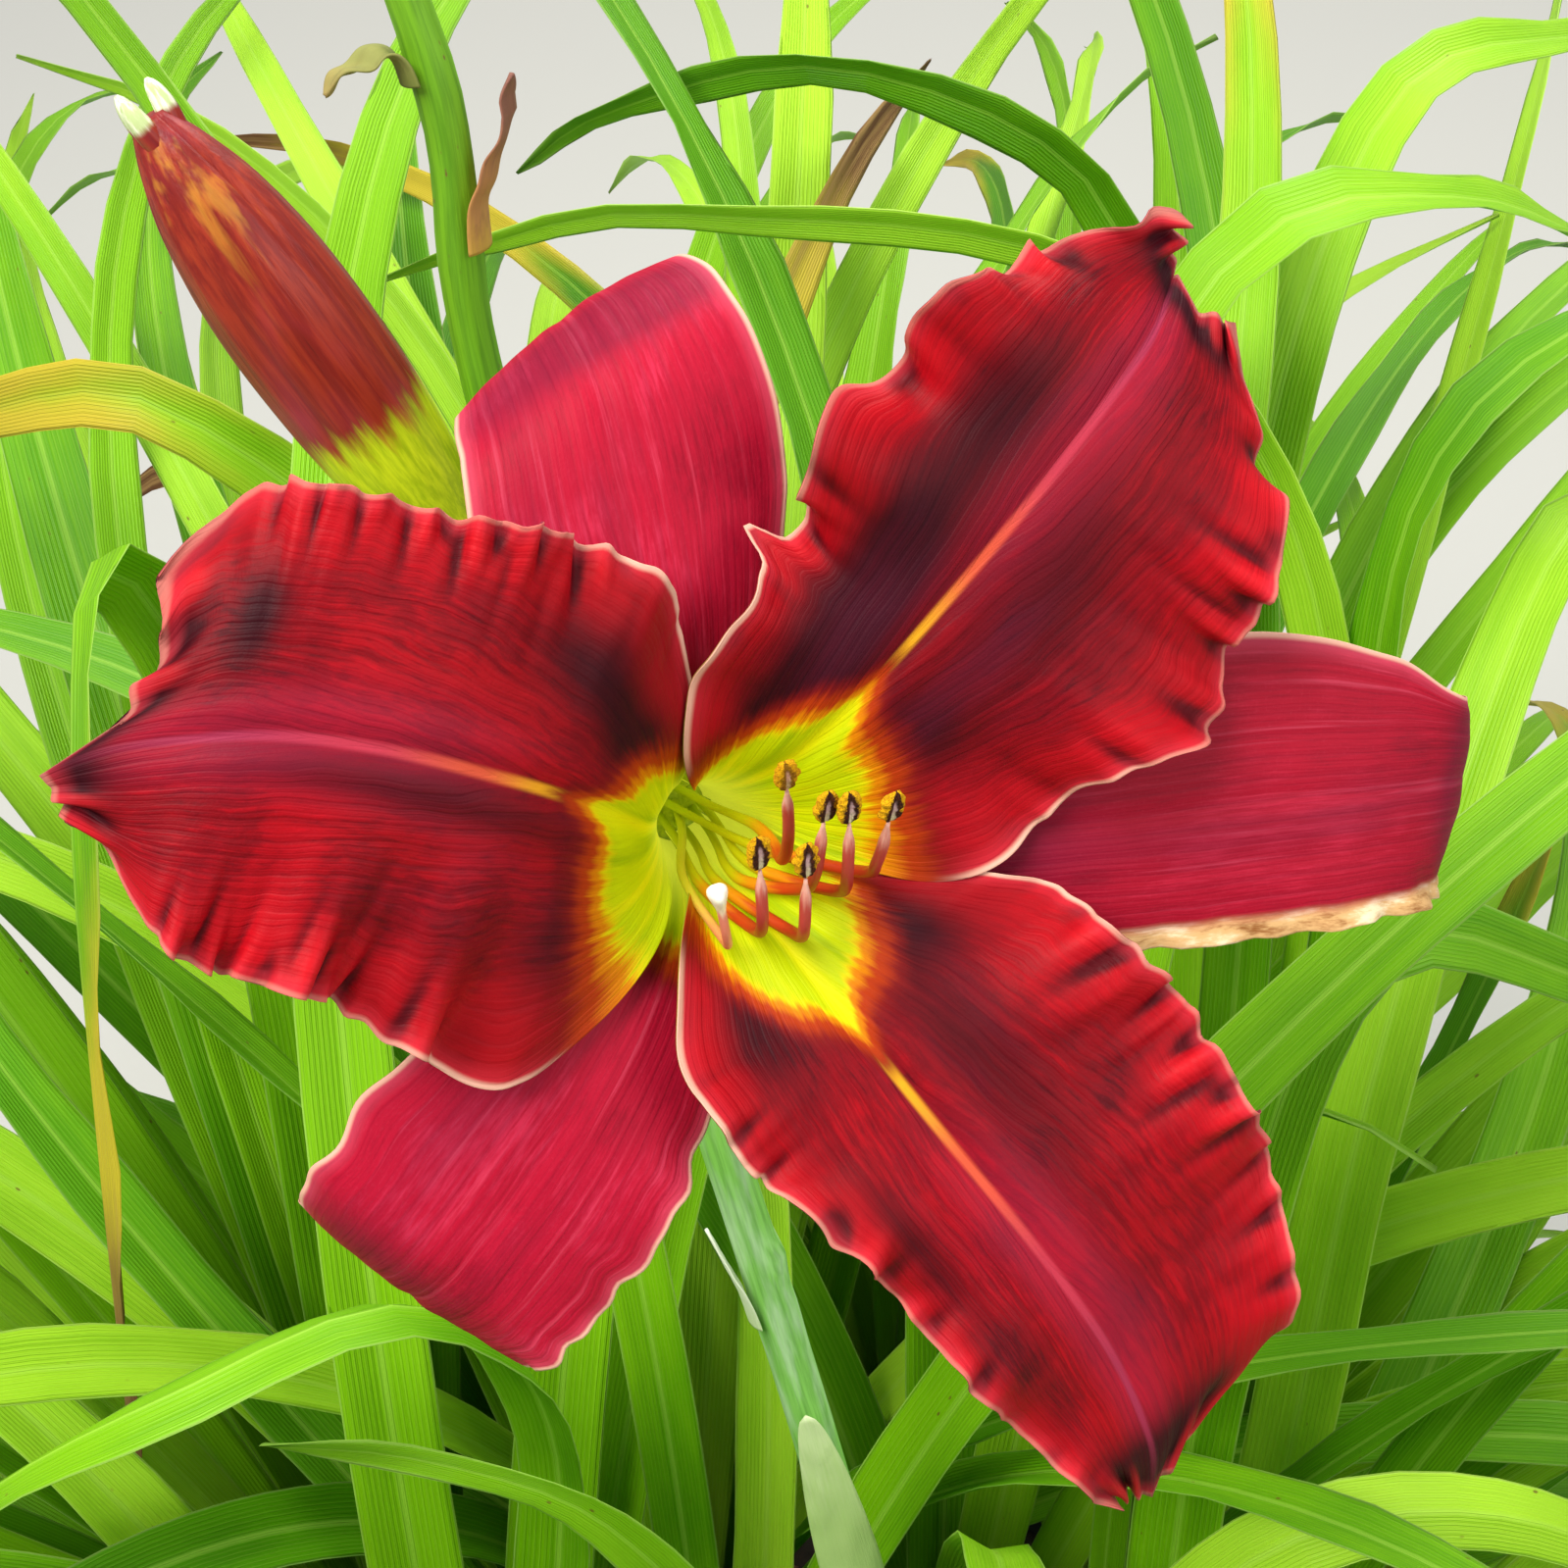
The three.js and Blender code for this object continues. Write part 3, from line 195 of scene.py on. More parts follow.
# Leaves placed one by one: fan, half width, and the way after the foot
PLACED_LEAVES = [
    (2, 8.5, [[36, 84, 400], [46, 86, 560], [73, 99, 642], [116, 126, 640], [165, 168, 600], [240, 235, 520]]),
    (1, 7.5, [[100, 50, 400], [104, 84, 550], [62, 112, 628], [-17, 120, 640], [-50, 128, 630],
              [-80, 142, 610]]),
    (2, 8, [[44, 110, 400], [66, 140, 560], [60, 152, 622], [11, 152, 650], [-34, 180, 625],
            [-56, 205, 596]]),
    (1, 9, [[92, 60, 380], [90, 120, 540], [115, 178, 622], [163, 222, 618], [229, 300, 570]]),
    (1, 9, [[100, 34, 370], [108, 60, 500], [112, 92, 598], [150, 112, 628], [210, 160, 590]]),
    (0, 9.5, [[94, -20, 360], [110, 34, 510], [142, 100, 578], [174, 130, 560], [235, 165, 490]]),
    (0, 9, [[74, -40, 360], [76, -14, 480], [96, 20, 556], [140, 32, 540], [205, 58, 470]]),
    (0, 4.5, [[66, -30, 320], [68, 10, 450], [80, 20, 512], [96, 10, 528], [114, 4, 520]]),
    (0, 8.5, [[64, -52, 330], [58, -58, 440], [84, -58, 506], [135, -50, 490], [190, -50, 420]]),
    (6, 6.5, [[0, -66, 330], [-8, -54, 440], [-28, -54, 500], [-56, -53, 520], [-86, -44, 510]]),
    (5, 9, [[-52, -46, 360], [-40, -30, 480], [-56, -42, 546], [-92, -62, 552], [-130, -62, 518],
            [-175, -56, 450]]),
    (4, 9.5, [[-90, 30, 400], [-98, 66, 540], [-116, 72, 602], [-116, 32, 588], [-118, 6, 530],
              [-122, -20, 440]]),
    (3, 9, [[-48, 84, 400], [-58, 100, 540], [-104, 98, 612], [-150, 116, 600], [-215, 160, 545]]),
]


# ---------------------------------------------------------------- camera, floor and light

CAMERA_AT = (0, -265.3, 885.3)
CAMERA_TILT = 45
CAMERA_HALF_VIEW = 0.306
SENSOR = 36
FLOOR_REACH = 30
FLOOR_COLOUR = "bab9b3"
SKY = (0.93, 0.96, 1, 1)
SKY_STRENGTH = 0.5

# Lights, in metres: place, what they face, diameter, power and colour
LIGHTS = dict(
    key=((-0.75, -0.55, 2.1), (0, -0.06, 0.68), 1.1, 46, (1, 0.98, 0.94)),
    fill=((1.3, -0.9, 1.5), (0, -0.06, 0.68), 1.3, 16, (1, 1, 1)),
    back=((0.35, 1.3, 1.9), (0, 0.05, 0.5), 1.2, 30, (1, 0.99, 0.93)),
)


def put_object(name, data):
    thing = bpy.data.objects.new(name, data)
    bpy.context.scene.collection.objects.link(thing)
    return thing


def make_camera():
    data = bpy.data.cameras.new("camera")
    data.sensor_width = SENSOR
    data.lens = SENSOR / (2 * CAMERA_HALF_VIEW)
    data.clip_start = 0.01
    data.clip_end = 50
    camera = put_object("camera", data)
    camera.location = [MM * value for value in CAMERA_AT]
    camera.rotation_euler = (math.radians(CAMERA_TILT), 0, 0)
    bpy.context.scene.camera = camera


def make_light(name, at, aim, size, energy, colour):
    data = bpy.data.lights.new(name, "AREA")
    data.shape = "DISK"
    data.size = size
    data.energy = energy
    data.color = colour
    light = put_object(name, data)
    light.location = at
    away = light.location - type(light.location)(aim)
    light.rotation_euler = away.to_track_quat("Z", "Y").to_euler()


def make_stage():
    world = bpy.data.worlds.new("studio")
    world.use_nodes = True
    sky = world.node_tree.nodes["Background"]
    sky.inputs["Color"].default_value = SKY
    sky.inputs["Strength"].default_value = SKY_STRENGTH
    bpy.context.scene.world = world
    mesh = bpy.data.meshes.new("floor")
    corners = [(x * FLOOR_REACH, y * FLOOR_REACH, 0) for x, y in ((-1, -1), (1, -1), (1, 1), (-1, 1))]
    mesh.from_pydata(corners, [], [(0, 1, 2, 3)])
    mesh.materials.append(Graph("floor").surface(FLOOR_COLOUR, 0.9))
    floor = put_object("floor", mesh)
    for name, light in LIGHTS.items():
        make_light(name, *light)
    bpy.context.scene.view_settings.view_transform = "Standard"


# ---------------------------------------------------------------- materials as formulas

def rgb(code):
    """A colour written as six hexadecimal digits, in the renderer's linear values."""
    values = [int(code[i:i + 2], 16) / 255 for i in (0, 2, 4)]
    return (*[v / 12.92 if v <= 0.04045 else ((v + 0.055) / 1.055) ** 2.4 for v in values], 1)


class Value:
    """A number on a node's output, on which sums become Math nodes."""

    def __init__(self, graph, socket):
        self.graph, self.socket = graph, socket

    def sum(self, operation, *others):
        node = self.graph.put("Math")
        node.operation = operation
        for place, value in zip(node.inputs, (self, *others)):
            self.graph.plug(place, value)
        return Value(self.graph, node.outputs[0])

    def __add__(self, other):
        return self.sum("ADD", other)

    def __sub__(self, other):
        return self.sum("SUBTRACT", other)

    def __mul__(self, other):
        return self.sum("MULTIPLY", other)

    def __abs__(self):
        return self.sum("ABSOLUTE")

    def sine(self):
        return self.sum("SINE")

    def clip(self):
        """The number, held between 0 and 1."""
        value = self.sum("ADD", 0)
        value.socket.node.use_clamp = True
        return value

    def rise(self, low, high, to=(0, 1)):
        """A smooth step from to[0] at low up to to[1] at high."""
        node = self.graph.put("MapRange", Value=self, From_Min=low, From_Max=high, To_Min=to[0], To_Max=to[1])
        node.interpolation_type = "SMOOTHSTEP"
        return Value(self.graph, node.outputs["Result"])


class Graph:
    """One material's node tree. A colour is a socket, or six hexadecimal digits."""

    def __init__(self, name):
        self.material = bpy.data.materials.new(name)
        self.material.use_nodes = True
        self.tree = self.material.node_tree
        self.tree.nodes.clear()

    def put(self, kind, **inputs):
        """A new node. Names in inputs are its sockets' own, with underscores for spaces."""
        node = self.tree.nodes.new("ShaderNode" + kind)
        for name, value in inputs.items():
            self.plug(node.inputs[name.replace("_", " ")], value)
        return node

    def plug(self, place, value):
        if isinstance(value, str):
            value = rgb(value)
        if isinstance(value, Value):
            value = value.socket
        if isinstance(value, bpy.types.NodeSocket):
            self.tree.links.new(value, place)
        else:
            place.default_value = value

    def read(self, name, output="Fac"):
        """What the mesh holds at each point under this name."""
        node = self.put("Attribute")
        node.attribute_name = name
        return Value(self, node.outputs[output])

    def place(self, scale, shift=(0, 0, 0)):
        """The straightened place on the piece, in millimetres, scaled by one number or along each axis."""
        scale = scale if isinstance(scale, tuple) else (scale,) * 3
        return self.put("Mapping", Vector=self.read("rest", "Vector"), Scale=scale, Location=shift).outputs["Vector"]

    def noise(self, scale, detail, roughness=0.5, shift=(0, 0, 0)):
        return self.noise_at(self.place(scale, shift), detail, roughness)

    def noise_at(self, place, detail, roughness):
        node = self.put("TexNoise", Vector=place, Scale=1, Detail=detail, Roughness=roughness)
        return Value(self, node.outputs["Fac"])

    def specks(self, scale, none, full):
        """Round specks: 0 as far as none from the middle of a speck, and 1 within full."""
        node = self.put("TexVoronoi", Vector=self.place(scale), Scale=1)
        return Value(self, node.outputs["Distance"]).rise(none, full)

    def vector(self, *parts):
        node = self.put("CombineXYZ")
        for place, value in zip(node.inputs, parts):
            self.plug(place, value)
        return node.outputs["Vector"]

    def blend(self, share, low, high, way="MIX"):
        """The colour low where share is 0, and high where it is 1."""
        node = self.put("Mix")
        node.data_type = "RGBA"
        node.blend_type = way
        # The sockets of a colour mix share their names with those of numbers
        for number, value in ((0, share), (6, low), (7, high)):
            self.plug(node.inputs[number], value)
        return node.outputs[2]

    def coats(self, colour, *coats):
        """Colours laid over the first one: how much of each shows, its colour, and its way if not plain."""
        for share, over, *way in coats:
            colour = self.blend(share, colour, over, *way)
        return colour

    def ramp(self, share, *stops):
        node = self.put("ValToRGB", Fac=share)
        node.color_ramp.interpolation = "EASE"
        points = node.color_ramp.elements
        while len(points) < len(stops):
            points.new(0.5)
        for point, (place, colour) in zip(points, stops):
            point.position = place
            point.color = rgb(colour)
        return node.outputs["Color"]

    def bump(self, height, distance):
        """Relief: height goes from 0 to 1 over distance, in millimetres."""
        return self.put("Bump", Distance=distance * MM, Height=height).outputs["Normal"]

    def surface(self, colour, roughness, through=0, through_colour=None, **inputs):
        """The finish. through is the share of light that passes, and inputs are the shader's own."""
        last = self.put("BsdfPrincipled", Base_Color=colour, Roughness=roughness, **inputs).outputs["BSDF"]
        if through:
            light = self.put("BsdfTranslucent", Color=through_colour or colour).outputs["BSDF"]
            both = self.put("MixShader", Fac=through)
            self.plug(both.inputs[1], last)
            self.plug(both.inputs[2], light)
            last = both.outputs["Shader"]
        self.put("OutputMaterial", Surface=last)
        return self.material


# ---------------------------------------------------------------- curves and sections

def unit(v):
    return v / np.linalg.norm(v, axis=-1, keepdims=True)


def lerp(a, b, share):
    return a + (b - a) * share


def smooth(x, low, high):
    t = np.clip((x - low) / (high - low), 0, 1)
    return t * t * (3 - 2 * t)


def around(radius, azimuth, height=0.0):
    """A point, or an array of points, at an azimuth in degrees."""
    turn = np.radians(azimuth)
    x, y, z = np.broadcast_arrays(radius * np.cos(turn), radius * np.sin(turn), height)
    return np.stack([x, y, z], -1)


def curve_weights(count, dense):
    """How much each of the given points counts at dense + 1 even places of a Catmull-Rom curve."""
    place = np.linspace(0, 1, dense + 1) * (count - 1)
    first = np.minimum(place.astype(int), count - 2)
    w = place - first
    shares = [-0.5 * w + w**2 - 0.5 * w**3, 1 - 2.5 * w**2 + 1.5 * w**3,
              0.5 * w + 2 * w**2 - 1.5 * w**3, -0.5 * w**2 + 0.5 * w**3]
    weights = np.zeros((dense + 1, count + 2))
    rows = np.arange(dense + 1)
    for k, share in enumerate(shares):
        weights[rows, first + k] += share
    weights[:, 1] += 2 * weights[:, 0]
    weights[:, 2] -= weights[:, 0]
    weights[:, -2] += 2 * weights[:, -1]
    weights[:, -3] -= weights[:, -1]
    return weights[:, 1:-1]


def evenly(points, steps, dense=240):
    """Points at equal steps of length along a smooth curve through the given points.

    points is one list of points or a stack of them, and steps one number or one for each of the stack.
    """
    points = np.asarray(points, float)
    stack = points.reshape(-1, *points.shape[-2:])
    steps = np.broadcast_to(np.asarray(steps), len(stack))
    fine = np.matmul(curve_weights(stack.shape[1], dense), stack)
    strides = np.linalg.norm(np.diff(fine, axis=1), axis=2)
    lengths = np.concatenate([np.zeros((len(stack), 1)), np.cumsum(strides, axis=1)], axis=1)
    goals = lengths[:, -1:] * np.minimum(np.arange(steps.max() + 1) / steps[:, None], 1)
    k = np.stack([np.searchsorted(row[1:-1], goal) for row, goal in zip(lengths, goals)])
    rows = np.arange(len(stack))[:, None]
    share = np.clip((goals - lengths[rows, k]) / strides[rows, k], 0, 1)[..., None]
    out = lerp(fine[rows, k], fine[rows, k + 1], share)
    return out.reshape(*points.shape[:-2], *out.shape[1:])


def path_length(path):
    return np.linalg.norm(np.diff(path, axis=-2), axis=-1).sum(-1)


def frames(path, first):
    """Direction, normal and side vector at each point of a path, carried along it without spin."""
    path = np.asarray(path, float)
    ahead = np.empty_like(path)
    ahead[..., 1:-1, :] = path[..., 2:, :] - path[..., :-2, :]
    ahead[..., 0, :] = path[..., 1, :] - path[..., 0, :]
    ahead[..., -1, :] = path[..., -1, :] - path[..., -2, :]
    ahead = ahead / np.maximum(np.linalg.norm(ahead, axis=-1, keepdims=True), 1e-12)
    normal = np.empty_like(path)
    now = np.broadcast_to(np.asarray(first, float), path[..., 0, :].shape)
    for i in range(path.shape[-2]):
        here = ahead[..., i, :]
        now = unit(now - (now * here).sum(-1, keepdims=True) * here)
        normal[..., i, :] = now
    return ahead, normal, np.cross(ahead, normal)


def along(rows, column, x):
    """Smooth value at x through rows of [x, value]."""
    rows = np.asarray(rows, float)
    keys, values = rows[:, 0], rows[:, column]
    i = np.searchsorted(keys[1:-1], x)
    slopes = np.empty(len(keys))
    slopes[1:-1] = (values[2:] - values[:-2]) / (keys[2:] - keys[:-2])
    slopes[0] = (values[1] - values[0]) / (keys[1] - keys[0])
    slopes[-1] = (values[-1] - values[-2]) / (keys[-1] - keys[-2])
    width = keys[i + 1] - keys[i]
    t = (x - keys[i]) / width
    return (values[i] * (2 * t**3 - 3 * t**2 + 1) + slopes[i] * width * (t**3 - 2 * t**2 + t)
            + values[i + 1] * (3 * t**2 - 2 * t**3) + slopes[i + 1] * width * (t**3 - t**2))


# ---------------------------------------------------------------- meshes

def tube_faces(rings, count, start=0):
    """Quads between rings of count points, and a cap at each end."""
    k, j = np.meshgrid(np.arange(rings - 1), np.arange(count), indexing="ij")
    a = start + k * count + j
    b = start + k * count + (j + 1) % count
    quads = np.stack([a, b, b + count, a + count], -1).reshape(-1, 4).tolist()
    first = (start + np.arange(count))[::-1].tolist()
    last = (start + (rings - 1) * count + np.arange(count)).tolist()
    return quads + [first, last]


class Pile:
    """Points and faces of a piece while it is put together, with what its material reads at each point."""

    READS = ("along", "across", "edge", "tone", "inner", "glow", "shade")

    def __init__(self):
        self.points, self.faces, self.rest, self.count = [], [], [], 0
        self.layers = {name: [] for name in self.READS}

    def add(self, points, faces, rest, **layers):
        flat = np.asarray(points, float).reshape(-1, 3)
        self.points.append(flat)
        self.rest.append(np.broadcast_to(rest, np.shape(points)).reshape(-1, 3))
        self.faces += [[self.count + i for i in face] for face in faces]
        for name in self.READS:
            value = np.broadcast_to(layers.get(name, 0.0), np.shape(points)[:-1]).reshape(-1)
            self.layers[name].append(value)
        self.count += len(flat)

    def lofted(self, rings, rest, **layers):
        rings = np.asarray(rings, float)
        self.add(rings, tube_faces(*rings.shape[:2]), rest, **layers)
        return self

    def piece(self, name, look, slot, *stands_for, place=None):
        """The finished object. place turns its points into the part's frame."""
        points = np.concatenate(self.points)
        if place is not None:
            points = place(points)
        mesh = bpy.data.meshes.new(name)
        mesh.from_pydata((points * MM).tolist(), [], self.faces)
        mesh.attributes.new("rest", "FLOAT_VECTOR", "POINT").data.foreach_set(
            "vector", np.concatenate(self.rest).astype(np.float32).ravel())
        for key, values in self.layers.items():
            mesh.attributes.new(key, "FLOAT", "POINT").data.foreach_set(
                "value", np.concatenate(values).astype(np.float32))
        mesh.polygons.foreach_set("use_smooth", np.ones(len(mesh.polygons), bool))
        mesh.materials.append(look)
        mesh.validate()
        thing = put_object(name, mesh)
        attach(thing, "root")
        if stands_for:
            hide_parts(*stands_for)
        return thing


def circle(sides):
    """Turns of a ring's points, in radians, as one row."""
    return np.linspace(0, 2 * PI, sides, endpoint=False)[None, :]


def columns(*parts):
    """Arrays of numbers put together into an array of points."""
    return np.stack(np.broadcast_arrays(*parts), -1)


def both(face, back=None):
    """Values over the two faces of a sheet as rings round it: one face one way, the other face back."""
    back = face if back is None else back
    return np.concatenate([face, back[:, ::-1]], axis=1)[:, ::-1]


def round_rings(path, radius, sides, shape=None):
    """Rings of points round a path, their straightened places, and their shares of the length.

    radius is a number or a function of that share, and shape scales it by the turn and the share.
    """
    _, normal, side = frames(path, (0, -1, 0))
    share = np.linspace(0, 1, len(path))[:, None]
    turn = circle(sides)
    r = (radius(share) if callable(radius) else radius) * (shape(turn, share) if shape else 1)
    r = np.broadcast_to(r, (len(path), sides))
    out = np.cos(turn)[..., None] * normal[:, None] + np.sin(turn)[..., None] * side[:, None]
    rest = columns(r * np.cos(turn), r * np.sin(turn), share * path_length(path))
    return path[:, None] + r[..., None] * out, rest, share


# ---------------------------------------------------------------- pot and soil

def inner_radius(z):
    return lerp(POT["base"], POT["top"], z / POT["height"]) - POT["wall"]


def lathe(profile, sides):
    """Rings of points round the Z axis from a profile of (radius, height), from the last to the first."""
    profile = np.asarray(profile, float)[::-1]
    turn = np.linspace(0, 360, sides, endpoint=False)
    return around(profile[:, :1], turn[None, :], profile[:, 1:])


def eased(profile, radius, bends=4):
    """A closed profile with each of its corners rounded."""
    points = np.asarray(profile, float)
    out = []
    for before, corner, after in zip(np.roll(points, 1, 0), points, np.roll(points, -1, 0)):
        reach = min(radius, 0.45 * np.linalg.norm(before - corner), 0.45 * np.linalg.norm(after - corner))
        start = corner + reach * unit(before - corner)
        end = corner + reach * unit(after - corner)
        for t in np.linspace(0, 1, bends):
            out.append((1 - t)**2 * start + 2 * t * (1 - t) * corner + t**2 * end)
    return np.array(out)


def pot_material():
    paint = Graph("pot_plastic")
    grain = paint.noise(1.6, 4, 0.6)
    cloud = paint.noise((0.02, 0.02, 0.05), 4, 0.6)
    scuff = paint.noise((0.35, 0.35, 0.02), 5, 0.7).rise(0.6, 0.74)
    low = paint.read("along").rise(0.25, 0, (0.25, 1))
    dust = (paint.noise((0.05, 0.05, 0.09), 5, 0.65) * low).rise(0.34, 0.62)
    colour = paint.coats("1d1f20", (cloud, "2b2d2e"), (scuff * 0.35, "5a5b58"), (dust * 0.5, "6d5f4f"))
    rough = (cloud * 0.2 + 0.42 + scuff * 0.15 + dust * 0.2).clip()
    return paint.surface(colour, rough, Normal=paint.bump(grain + scuff * 0.4, 0.12), Specular_IOR_Level=0.4)


def drained_floor(radius):
    """The pot's floor inside the wall, a round plate with drain holes: its points and faces."""
    rounds = 96
    plate = bpy.data.meshes.new("pot_floor")
    ring = around(radius, np.linspace(0, 360, rounds, endpoint=False))
    points = np.concatenate([ring + [0, 0, z] for z in (0.02, POT["floor"] - 0.02)]) * MM
    faces = [list(range(rounds))[::-1], list(range(rounds, 2 * rounds))]
    faces += [[j, (j + 1) % rounds, rounds + (j + 1) % rounds, rounds + j] for j in range(rounds)]
    plate.from_pydata(points.tolist(), [], faces)
    floor = put_object("pot_floor", plate)
    cutters = []
    for i in range(POT["drains"]):
        bpy.ops.mesh.primitive_cylinder_add(
            vertices=32, radius=POT["drain_radius"] * MM, depth=4 * POT["floor"] * MM,
            location=around(POT["drain_ring"], i * 360 / POT["drains"]) * MM)
        cutters.append(bpy.context.object)
        cut = floor.modifiers.new("drain", "BOOLEAN")
        cut.operation = "DIFFERENCE"
        cut.object = cutters[-1]
    bpy.context.view_layer.update()
    mesh = bpy.data.meshes.new_from_object(floor.evaluated_get(bpy.context.evaluated_depsgraph_get()))
    points = np.array([v.co for v in mesh.vertices]) / MM
    for spare in [floor, *cutters]:
        bpy.data.objects.remove(spare)
    return points, [list(face.vertices) for face in mesh.polygons]


def make_pot():
    top, band = POT["height"], POT["height"] - POT["band"]
    outer = lambda z: inner_radius(z) + POT["wall"]
    rim = outer(top) + POT["band_out"] + POT["lip_out"]
    under = top - POT["lip"]
    plate = POT["drain_ring"] + 20
    profile = [
        (plate, 0), (POT["base"] - 4, 0), (POT["base"], 4), (outer(band), band),
        (outer(band) + POT["band_out"], band + 2), (outer(under) + POT["band_out"], under),
        (rim, under + 1), (rim, top), (inner_radius(top) + 1, top), (inner_radius(top - 3), top - 3),
        (inner_radius(POT["floor"]), POT["floor"]), (plate, POT["floor"]),
    ]
    sides = 144
    rings = lathe(eased(profile, 1.2), sides)
    count = len(rings)
    quads = [[(k % count) * sides + j % sides for k, j in ((i, s), (i, s + 1), (i + 1, s + 1), (i + 1, s))]
             for i in range(count) for s in range(sides)]
    wall = Pile()
    wall.add(rings, quads, rings, along=rings[..., 2] / top)
    points, faces = drained_floor(plate + 0.2)
    wall.add(points, faces, points, along=0.0)
    smooth_by_angle(wall.piece("pot_shell", pot_material(), "pot", "pot"), 40)


def smooth_by_angle(thing, degrees):
    """Edges sharper than this stay sharp in the shading."""
    mesh = thing.data
    mesh.update()
    edges = {}
    for face in mesh.polygons:
        for key in face.edge_keys:
            edges.setdefault(key, []).append(face.normal.copy())
    limit = math.radians(degrees)
    for edge in mesh.edges:
        sides = edges.get(edge.key, [])
        if len(sides) == 2 and sides[0].angle(sides[1], 0) > limit:
            edge.use_edge_sharp = True


def ripples(x, y, seed, waves=9, span=(8, 60)):
    """A smooth bumpy surface over x and y, in about -1 to 1, summed from seeded waves."""
    draw = np.random.default_rng(seed)
    total = np.zeros_like(x)
    for _ in range(waves):
        length = draw.uniform(*span)
        turn, phase = draw.uniform(0, 2 * PI, 2)
        total = total + np.sin(2 * PI * (x * np.cos(turn) + y * np.sin(turn)) / length + phase)
    return total / math.sqrt(waves)


def soil_height(x, y):
    edge = inner_radius(SOIL["level"] - SOIL["drop"]) - GAP
    place = np.hypot(x, y) / edge
    base = SOIL["level"] + np.interp(place, [0, 0.45, 0.82, 1.001], [SOIL["mound"], SOIL["mound"], 0, -SOIL["drop"]])
    bumps = 0.8 * ripples(x, y, 3) + 0.5 * ripples(x, y, 4, 12, (3, 9))
    return base + smooth(place, 1.0, 0.9) * bumps - 0.6


def crumb(draw, size, flat):
    """A small angular lump: an uneven icosahedron, turned and as flat as flat says."""
    lump = bmesh.new()
    bmesh.ops.create_icosphere(lump, subdivisions=1, radius=1)
    points = np.array([v.co for v in lump.verts])
    faces = [[v.index for v in face.verts] for face in lump.faces]
    lump.free()
    squeeze = np.array([1, 1 - 0.5 * flat, 1 - 0.75 * flat])
    points = points * draw.uniform(0.7, 1.25, (len(points), 1)) * size * squeeze
    a, b, _ = draw.uniform(0, 2 * PI, 3)
    turn_z = np.array([[np.cos(a), -np.sin(a), 0], [np.sin(a), np.cos(a), 0], [0, 0, 1]])
    tip = 0.5 * b / PI * (1 - flat) + 0.25 * flat * np.sin(b)
    turn_x = np.array([[1, 0, 0], [0, np.cos(tip), -np.sin(tip)], [0, np.sin(tip), np.cos(tip)]])
    return points @ turn_x.T @ turn_z.T, faces


def soil_material():
    """tone is low on soil, in the middle on bark and high on perlite."""
    paint = Graph("soil_peat")
    lump = paint.noise(0.25, 5, 0.7)
    grit = paint.noise(2.5, 4, 0.7)
    tone = paint.read("tone")
    colour = paint.coats(
        paint.ramp((lump * 0.6 + grit * 0.4).clip(), (0.25, "150e09"), (0.5, "2c1e15"), (0.75, "4a3426")),
        (tone.rise(0.4, 0.6), paint.ramp(grit, (0.3, "4b2f1c"), (0.7, "8a6544"))),
        (tone.rise(0.9, 0.95), "cfcabd"))
    return paint.surface(colour, (grit * 0.25 + 0.75).clip(), Normal=paint.bump(grit + lump, 0.7))


def make_soil():
    draw = np.random.default_rng(11)
    ground = Pile()
    edge = inner_radius(SOIL["level"] - SOIL["drop"]) - GAP - 0.2
    rings, sides = 90, 220
    turn = np.linspace(0, 360, sides, endpoint=False)[None, :]
    top = around(edge * (np.arange(1, rings + 1) / rings)[:, None] ** 0.8, turn)
    top[..., 2] = soil_height(top[..., 0], top[..., 1])
    low = POT["floor"] + GAP
    skirt = around(inner_radius(low) - GAP - 0.2, turn, low)
    sheet = np.concatenate([top, skirt])[::-1]
    ground.lofted(sheet, sheet, tone=0.1)
    for _ in range(1500):
        azimuth = draw.uniform(0, 360)
        reach = (edge - 5) * math.sqrt(draw.uniform(0, 1))
        kind = draw.uniform(0, 1)
        flakes = kind > 0.62
        size = draw.uniform(1.6, 5.0) if flakes else draw.uniform(0.7, 2.4)
        if flakes:
            tone = 0.7 if kind > 0.8 else 0.3
        elif kind < 0.5:
            tone = 0.1
        elif kind < 0.56:
            tone, size = 1.0, draw.uniform(0.8, 1.8)
        else:
            tone = 0.2
        points, faces = crumb(draw, size, 0.8 if flakes else 0.2)
        x, y, _ = around(reach, azimuth)
        points = points + [x, y, float(soil_height(np.array(x), np.array(y))) + size * 0.15]
        ground.add(points, faces, points, tone=tone)
    ground.piece("soil_surface", soil_material(), "soil", "soil")


# ---------------------------------------------------------------- scape, stalks, tube

SCAPE_PATH = evenly(SCAPE_ROUTE, SCAPE_STEPS)

# Swellings of the scape where bracts and stalks stand: share of the length and size
SCAPE_KNOTS = [(0.46, 0.06), (0.592, 0.05), (0.89, 0.09), (0.924, 0.09), (0.97, 0.12)]


def scape_radius(share):
    return lerp(*SCAPE_RADII, share**1.15)


